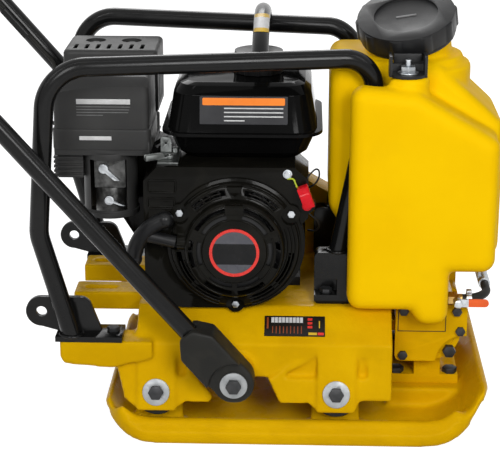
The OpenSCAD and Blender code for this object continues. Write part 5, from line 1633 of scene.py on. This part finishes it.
@dataclass
class Exhaust(Assembly):
    """The muffler and its guard.

    Attributes:
        low: Lowest X and Y of the guard.
        high: Highest X and Y of the guard.
        top: Height of the guard's top.
        corner: Radius of the guard's upright corners.
        rounding: Rounding of its top edge.
        near: How near to the rim a point counts as on it.
    """

    skins: tuple[Skin, ...] = (Skin("muffler", HEAT_BLACK, 0.002, 3),)
    low: Pair = (-0.349, 0.014)
    high: Pair = (-0.205, 0.128)
    top: float = 0.541
    corner: float = 0.01
    rounding: float = 0.007
    near: float = 0.0006

    def model(self) -> None:
        """Round the guard's rim."""
        guard = Bench.copy_node("muffler_guard")
        Bench.round_group(guard, self.rounding, 5, self._on_rim)
        Bench.mend(guard)
        Bench.smooth(guard, SOFT)
        self.settle(guard, [GRAPHITE], "muffler_guard", True)

    def _on_rim(self, point: Vector) -> bool:
        """Say if a point lies on the outer rim of the guard's top.

        Args:
            point: The point.

        Returns:
            True on the rim.
        """
        if abs(point.z - self.top) > self.near:
            return False
        half = Vector(self.high) / 2 - Vector(self.low) / 2
        middle = (Vector(self.high) + Vector(self.low)) / 2
        out = Vector((abs(point.x - middle.x), abs(point.y - middle.y))) - half
        out = out + Vector((self.corner, self.corner))
        reach = Vector((max(out.x, 0.0), max(out.y, 0.0))).length + min(max(out.x, out.y), 0.0)
        return abs(reach - self.corner) < self.near


@dataclass
class SpeedControl(Assembly):
    """The speed lever on the engine and its plate."""

    skins: tuple[Skin, ...] = (Skin("control_plate", DULL_ZINC, 0.0005), Skin("throttle_arm", DULL_ZINC, 0.0005))


@dataclass
class RollFrame(Assembly):
    """The two tube hoops, the lifting arch, their feet and weld beads.

    Attributes:
        rear_weld: Middle of the right rear weld bead.
        front_weld: Middle of the right front weld bead.
        weld_radius: Radius of a bead round its tube.
        weld_thick: Half thickness of a bead.
        weld_stretch: How a bead is drawn out along X and pressed flat.
        weld_uneven: How far a bead's points stray.
        sticker: Where the bare sticker on the arch starts and ends along its own upward way.
        sticker_up: That upward way.
        sticker_end: Share of the sticker in each coloured end.
        sticker_back: Y that the sticker doesn't reach beyond.
        sticker_half: Half the sticker's width.
        sticker_lift: How far the sticker lies out of the tube.
        sticker_thick: Thickness of the sticker.
        arch_x: X of the arch.
    """

    skins: tuple[Skin, ...] = (
        Skin("roll_frame_right", TUBE_BLACK, angle=ROUND), Skin("roll_frame_left", TUBE_BLACK, angle=ROUND),
        Skin("lifting_arch", TUBE_BLACK, angle=ROUND), Skin("frame_feet", TUBE_BLACK, 0.002, 3),
    )
    rear_weld: Point = (-0.319, -0.192, 0.1625)
    front_weld: Point = (0.072, -0.108, 0.2685)
    weld_radius: float = 0.015
    weld_thick: float = 0.0032
    weld_stretch: Point = (1.06, 1.0, 0.9)
    weld_uneven: float = 0.0005
    sticker: Pair = (0.532, 0.564)
    sticker_up: Point = (0.0, 0.319, 0.9478)
    sticker_end: float = 0.2
    sticker_back: float = -0.001
    sticker_half: float = 0.0105
    sticker_lift: float = 0.0006
    sticker_thick: float = 0.0005
    arch_x: float = -0.045

    def model(self) -> None:
        """Run the weld beads and wrap the sticker."""
        self._welds()
        self._sticker()

    def _welds(self) -> None:
        """Run a bead round each tube's foot, modelled once and copied."""
        Bench.clear()
        bpy.ops.mesh.primitive_torus_add(major_radius=self.weld_radius, minor_radius=self.weld_thick,
                                         major_segments=44, minor_segments=8)
        bead = bpy.context.object
        bpy.ops.object.mode_set(mode="EDIT")
        bpy.ops.mesh.select_all(action="SELECT")
        bpy.ops.transform.vertex_random(offset=self.weld_uneven, seed=7)
        bpy.ops.transform.resize(value=self.weld_stretch)
        Bench.done()
        bead.location = self.rear_weld
        bpy.ops.object.transform_apply()
        ahead = Vector(self.front_weld) - Vector(self.rear_weld)
        inward = ahead + Vector((0.0, -2 * self.front_weld[1], 0.0))
        welds = Bench.join("frame_weld_beads", Bench.copies(bead, [(0.0, -2 * self.rear_weld[1], 0.0), ahead, inward]))
        Bench.apply(welds, "SUBSURF", levels=1, render_levels=1)
        self.add(welds, TUBE_BLACK, "frame_feet", MELTED)

    def _sticker(self) -> None:
        """Wrap the bare sticker round the arch's right shoulder."""
        sticker = Bench.copy_node("lifting_arch", "arch_sticker")
        low, high = self.sticker
        up = Vector(self.sticker_up)
        ends = (low + self.sticker_end * (high - low), high - self.sticker_end * (high - low))
        for point, normal, drop in ((up * high, up, True), (up * low, -up, True),
                                    ((0.0, self.sticker_back, 0.0), (0.0, 1.0, 0.0), True),
                                    (up * ends[0], up, False), (up * ends[1], up, False)):
            Bench.cut(sticker, point, normal, drop)
        Bench.strip(sticker, lambda middle, way: abs(middle.x - self.arch_x) > self.sticker_half)
        Bench.faces(sticker, any_face)
        bpy.ops.transform.shrink_fatten(value=self.sticker_lift)
        Bench.done()
        Bench.apply(sticker, "SOLIDIFY", thickness=self.sticker_thick, offset=-1.0)
        for face in sticker.data.polygons:
            face.material_index = 0 if ends[0] < face.center.dot(up) < ends[1] else 1
        Bench.smooth(sticker, ROUND)
        self.settle(sticker, [LABEL_PALE, LABEL_YELLOW], "lifting_arch")


@dataclass
class WaterSystem(Assembly):
    """The water tank, its cap and bracket, the tap and the sprinkler.

    Attributes:
        grid: Grid of the moulded tank's skin.
        passes: Smoothing passes of the tank.
        cap_floor: Middle of the hollow in the cap's top.
        cap_turn: Turn of the cap about X, Y and Z in degrees.
        mark_size: Size of the bar that stands in the cap's hollow.
        lever_dip: X from which the tap's lever is dipped in orange.
        wall_low: Lowest corner of the bracket's back wall.
        wall_high: Highest corner of that wall.
        clamp: Foot of the clamp on the hose's start.
        clamp_size: Radius and width of the clamp.
        clamp_thick: Thickness of the clamp's band.
        ear_low: Lowest corner of the clamp's ear, from its foot.
        ear_high: Highest corner of that ear, from the clamp's foot.
    """

    skins: tuple[Skin, ...] = (
        Skin("water_cap", CAP_BLACK, 0.0018, 3), Skin("cap_strap", CAP_BLACK, 0.0012, 3),
        Skin("water_tap", BRASS, 0.0006), Skin("water_hose", RUBBER, angle=ROUND),
        Skin("sprinkler_pipe", ZINC, 0.0004),
    )
    hardware: tuple[Turned, ...] = (
        Turned("tap_nut", "tap_lever", (0.25, -0.1318, 0.194), RIGHT, (0.0066, 0.0045), 40, 0.0,
               ((0.0024, 0.0012),), 0.0007, 3),
        Turned("bracket_washer", "cap_strap", (0.166, -0.118, 0.54), UP, (0.015, 0.0018), steps=((0.003, 0.0004),)),
        Turned("bracket_nut", "cap_strap", (0.166, -0.118, 0.542), UP, (0.0116, 0.0085), 6, 0.0,
               ((0.0045, 0.0), (0.0, -0.0008)), 0.0009, 3, SOFT),
        Turned("bracket_stud", "cap_strap", (0.166, -0.118, 0.549), UP, (0.0046, 0.011), 32, edge=0.001, segments=3,
               angle=SOFT),
    )
    grid: float = 0.0036
    passes: int = 9
    cap_floor: Point = (0.1666, -0.0269, 0.6044)
    cap_turn: Point = (20.0, -9.0, 0.0)
    mark_size: Point = (0.03, 0.0042, 0.0016)
    lever_dip: float = 0.266
    wall_low: Point = (0.146, -0.0984, 0.54)
    wall_high: Point = (0.186, -0.096, 0.564)
    clamp: Point = (0.264, -0.11, 0.194)
    clamp_size: Pair = (0.0077, 0.008)
    clamp_thick: float = 0.0012
    ear_low: Point = (0.0, -0.0045, 0.0076)
    ear_high: Point = (0.008, 0.0045, 0.014)

    def model(self) -> None:
        """Build the tank, the lever, the clamp, the cap's bar and the bracket's wall."""
        self.cast(Bench.copy_node("water_tank"), "water_tank", MOULDED_YELLOW, self.grid, self.passes)
        self._lever()
        self._clamp()
        middle, half = Vector(self.cap_floor), Vector(self.mark_size) / 2
        bar = Bench.box("cap_bar", middle - half, middle + half, self.cap_turn)
        Bench.round_edges(bar, 0.0005, 3)
        self.add(bar, LABEL_DIM, "water_cap")
        wall = Bench.box("bracket_back_wall", self.wall_low, self.wall_high)
        Bench.round_edges(wall, 0.0008)
        self.add(wall, CAP_BLACK, "cap_strap")

    def _lever(self) -> None:
        """Dip the tap lever's end in orange."""
        lever = Bench.copy_node("tap_lever")
        Bench.cut(lever, (self.lever_dip, 0.0, 0.0), AHEAD)
        Bench.round_edges(lever, 0.0008)
        for face in lever.data.polygons:
            face.material_index = 1 if face.center.x < self.lever_dip else 0
        Bench.smooth(lever)
        self.settle(lever, [ORANGE, ZINC], "tap_lever", True)

    def _clamp(self) -> None:
        """Draw the zinc clamp tight round the hose's start."""
        foot = Vector(self.clamp)
        band = Bench.disc("hose_clamp", foot, AHEAD, *self.clamp_size)
        Bench.strip(band, lambda middle, normal: abs(normal.x) > SQUARE)
        Bench.apply(band, "SOLIDIFY", thickness=self.clamp_thick, offset=1.0)
        ear = Bench.box("hose_clamp", foot + Vector(self.ear_low), foot + Vector(self.ear_high))
        Bench.round_edges(ear, 0.0012, 3)
        clamp = Bench.join("hose_clamp", [band, ear])
        Bench.round_edges(clamp, 0.0003, 1, 60.0)
        self.add(clamp, ZINC, "water_tap", SOFT)


@dataclass
class Handle(Assembly):
    """The folding handle with its boots, grip, throttle lever and cables.

    Attributes:
        boot_grid: Grid of the rubber boots' skin.
        boot_passes: Smoothing passes of the boots.
        bend_from: Where the lower cable starts to follow the handle.
        bend_to: Where the lower cable follows the handle fully.
        bend_cuts: Cuts that let it bend smoothly in between.
    """

    skins: tuple[Skin, ...] = (
        Skin("handle_frame", TUBE_BLACK, angle=50.0), Skin("handle_grip", RUBBER, 0.0025, 3),
        Skin("throttle_lever", RED, 0.001), Skin("throttle_cable_upper", RUBBER, angle=ROUND),
    )
    boot_grid: float = 0.0026
    boot_passes: int = 12
    bend_from: Point = (-0.4, 0.145, 0.405)
    bend_to: Point = (-0.433, 0.21, 0.515)
    bend_cuts: int = 14

    def model(self) -> None:
        """Build the boots, and cut the lower cable into short spans along the stretch where it reaches the handle."""
        self.cast(Bench.copy_node("handle_boots"), "handle_boots", RUBBER, self.boot_grid, self.boot_passes)
        cable = Bench.copy_node("throttle_cable_lower")
        start, end = Vector(self.bend_from), Vector(self.bend_to)
        for step in range(self.bend_cuts + 1):
            Bench.cut(cable, start + (end - start) * step / self.bend_cuts, end - start)
        Bench.smooth(cable, ROUND)
        self.paint(cable, [RUBBER])
        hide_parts("throttle_cable_lower")
        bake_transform(cable)
        self.slot_of("throttle_cable_lower")
        LOG.info("%s bends from chassis to handle", cable.name)


def main() -> None:
    """Build the studio and the machine, one sub-assembly after another."""
    logging.basicConfig(level=logging.INFO)
    Studio().build()
    parts = (SolePlate(), EngineBed(), Exciter(), BeltDrive(), EngineBlock(), Starter(), FuelTank(), Intake(),
             Exhaust(), SpeedControl(), RollFrame(), WaterSystem(), Handle())
    for part in parts:
        part.build()
        LOG.info("%s is built", type(part).__name__)
    Bench.clear()


if __name__ == "__main__":
    main()
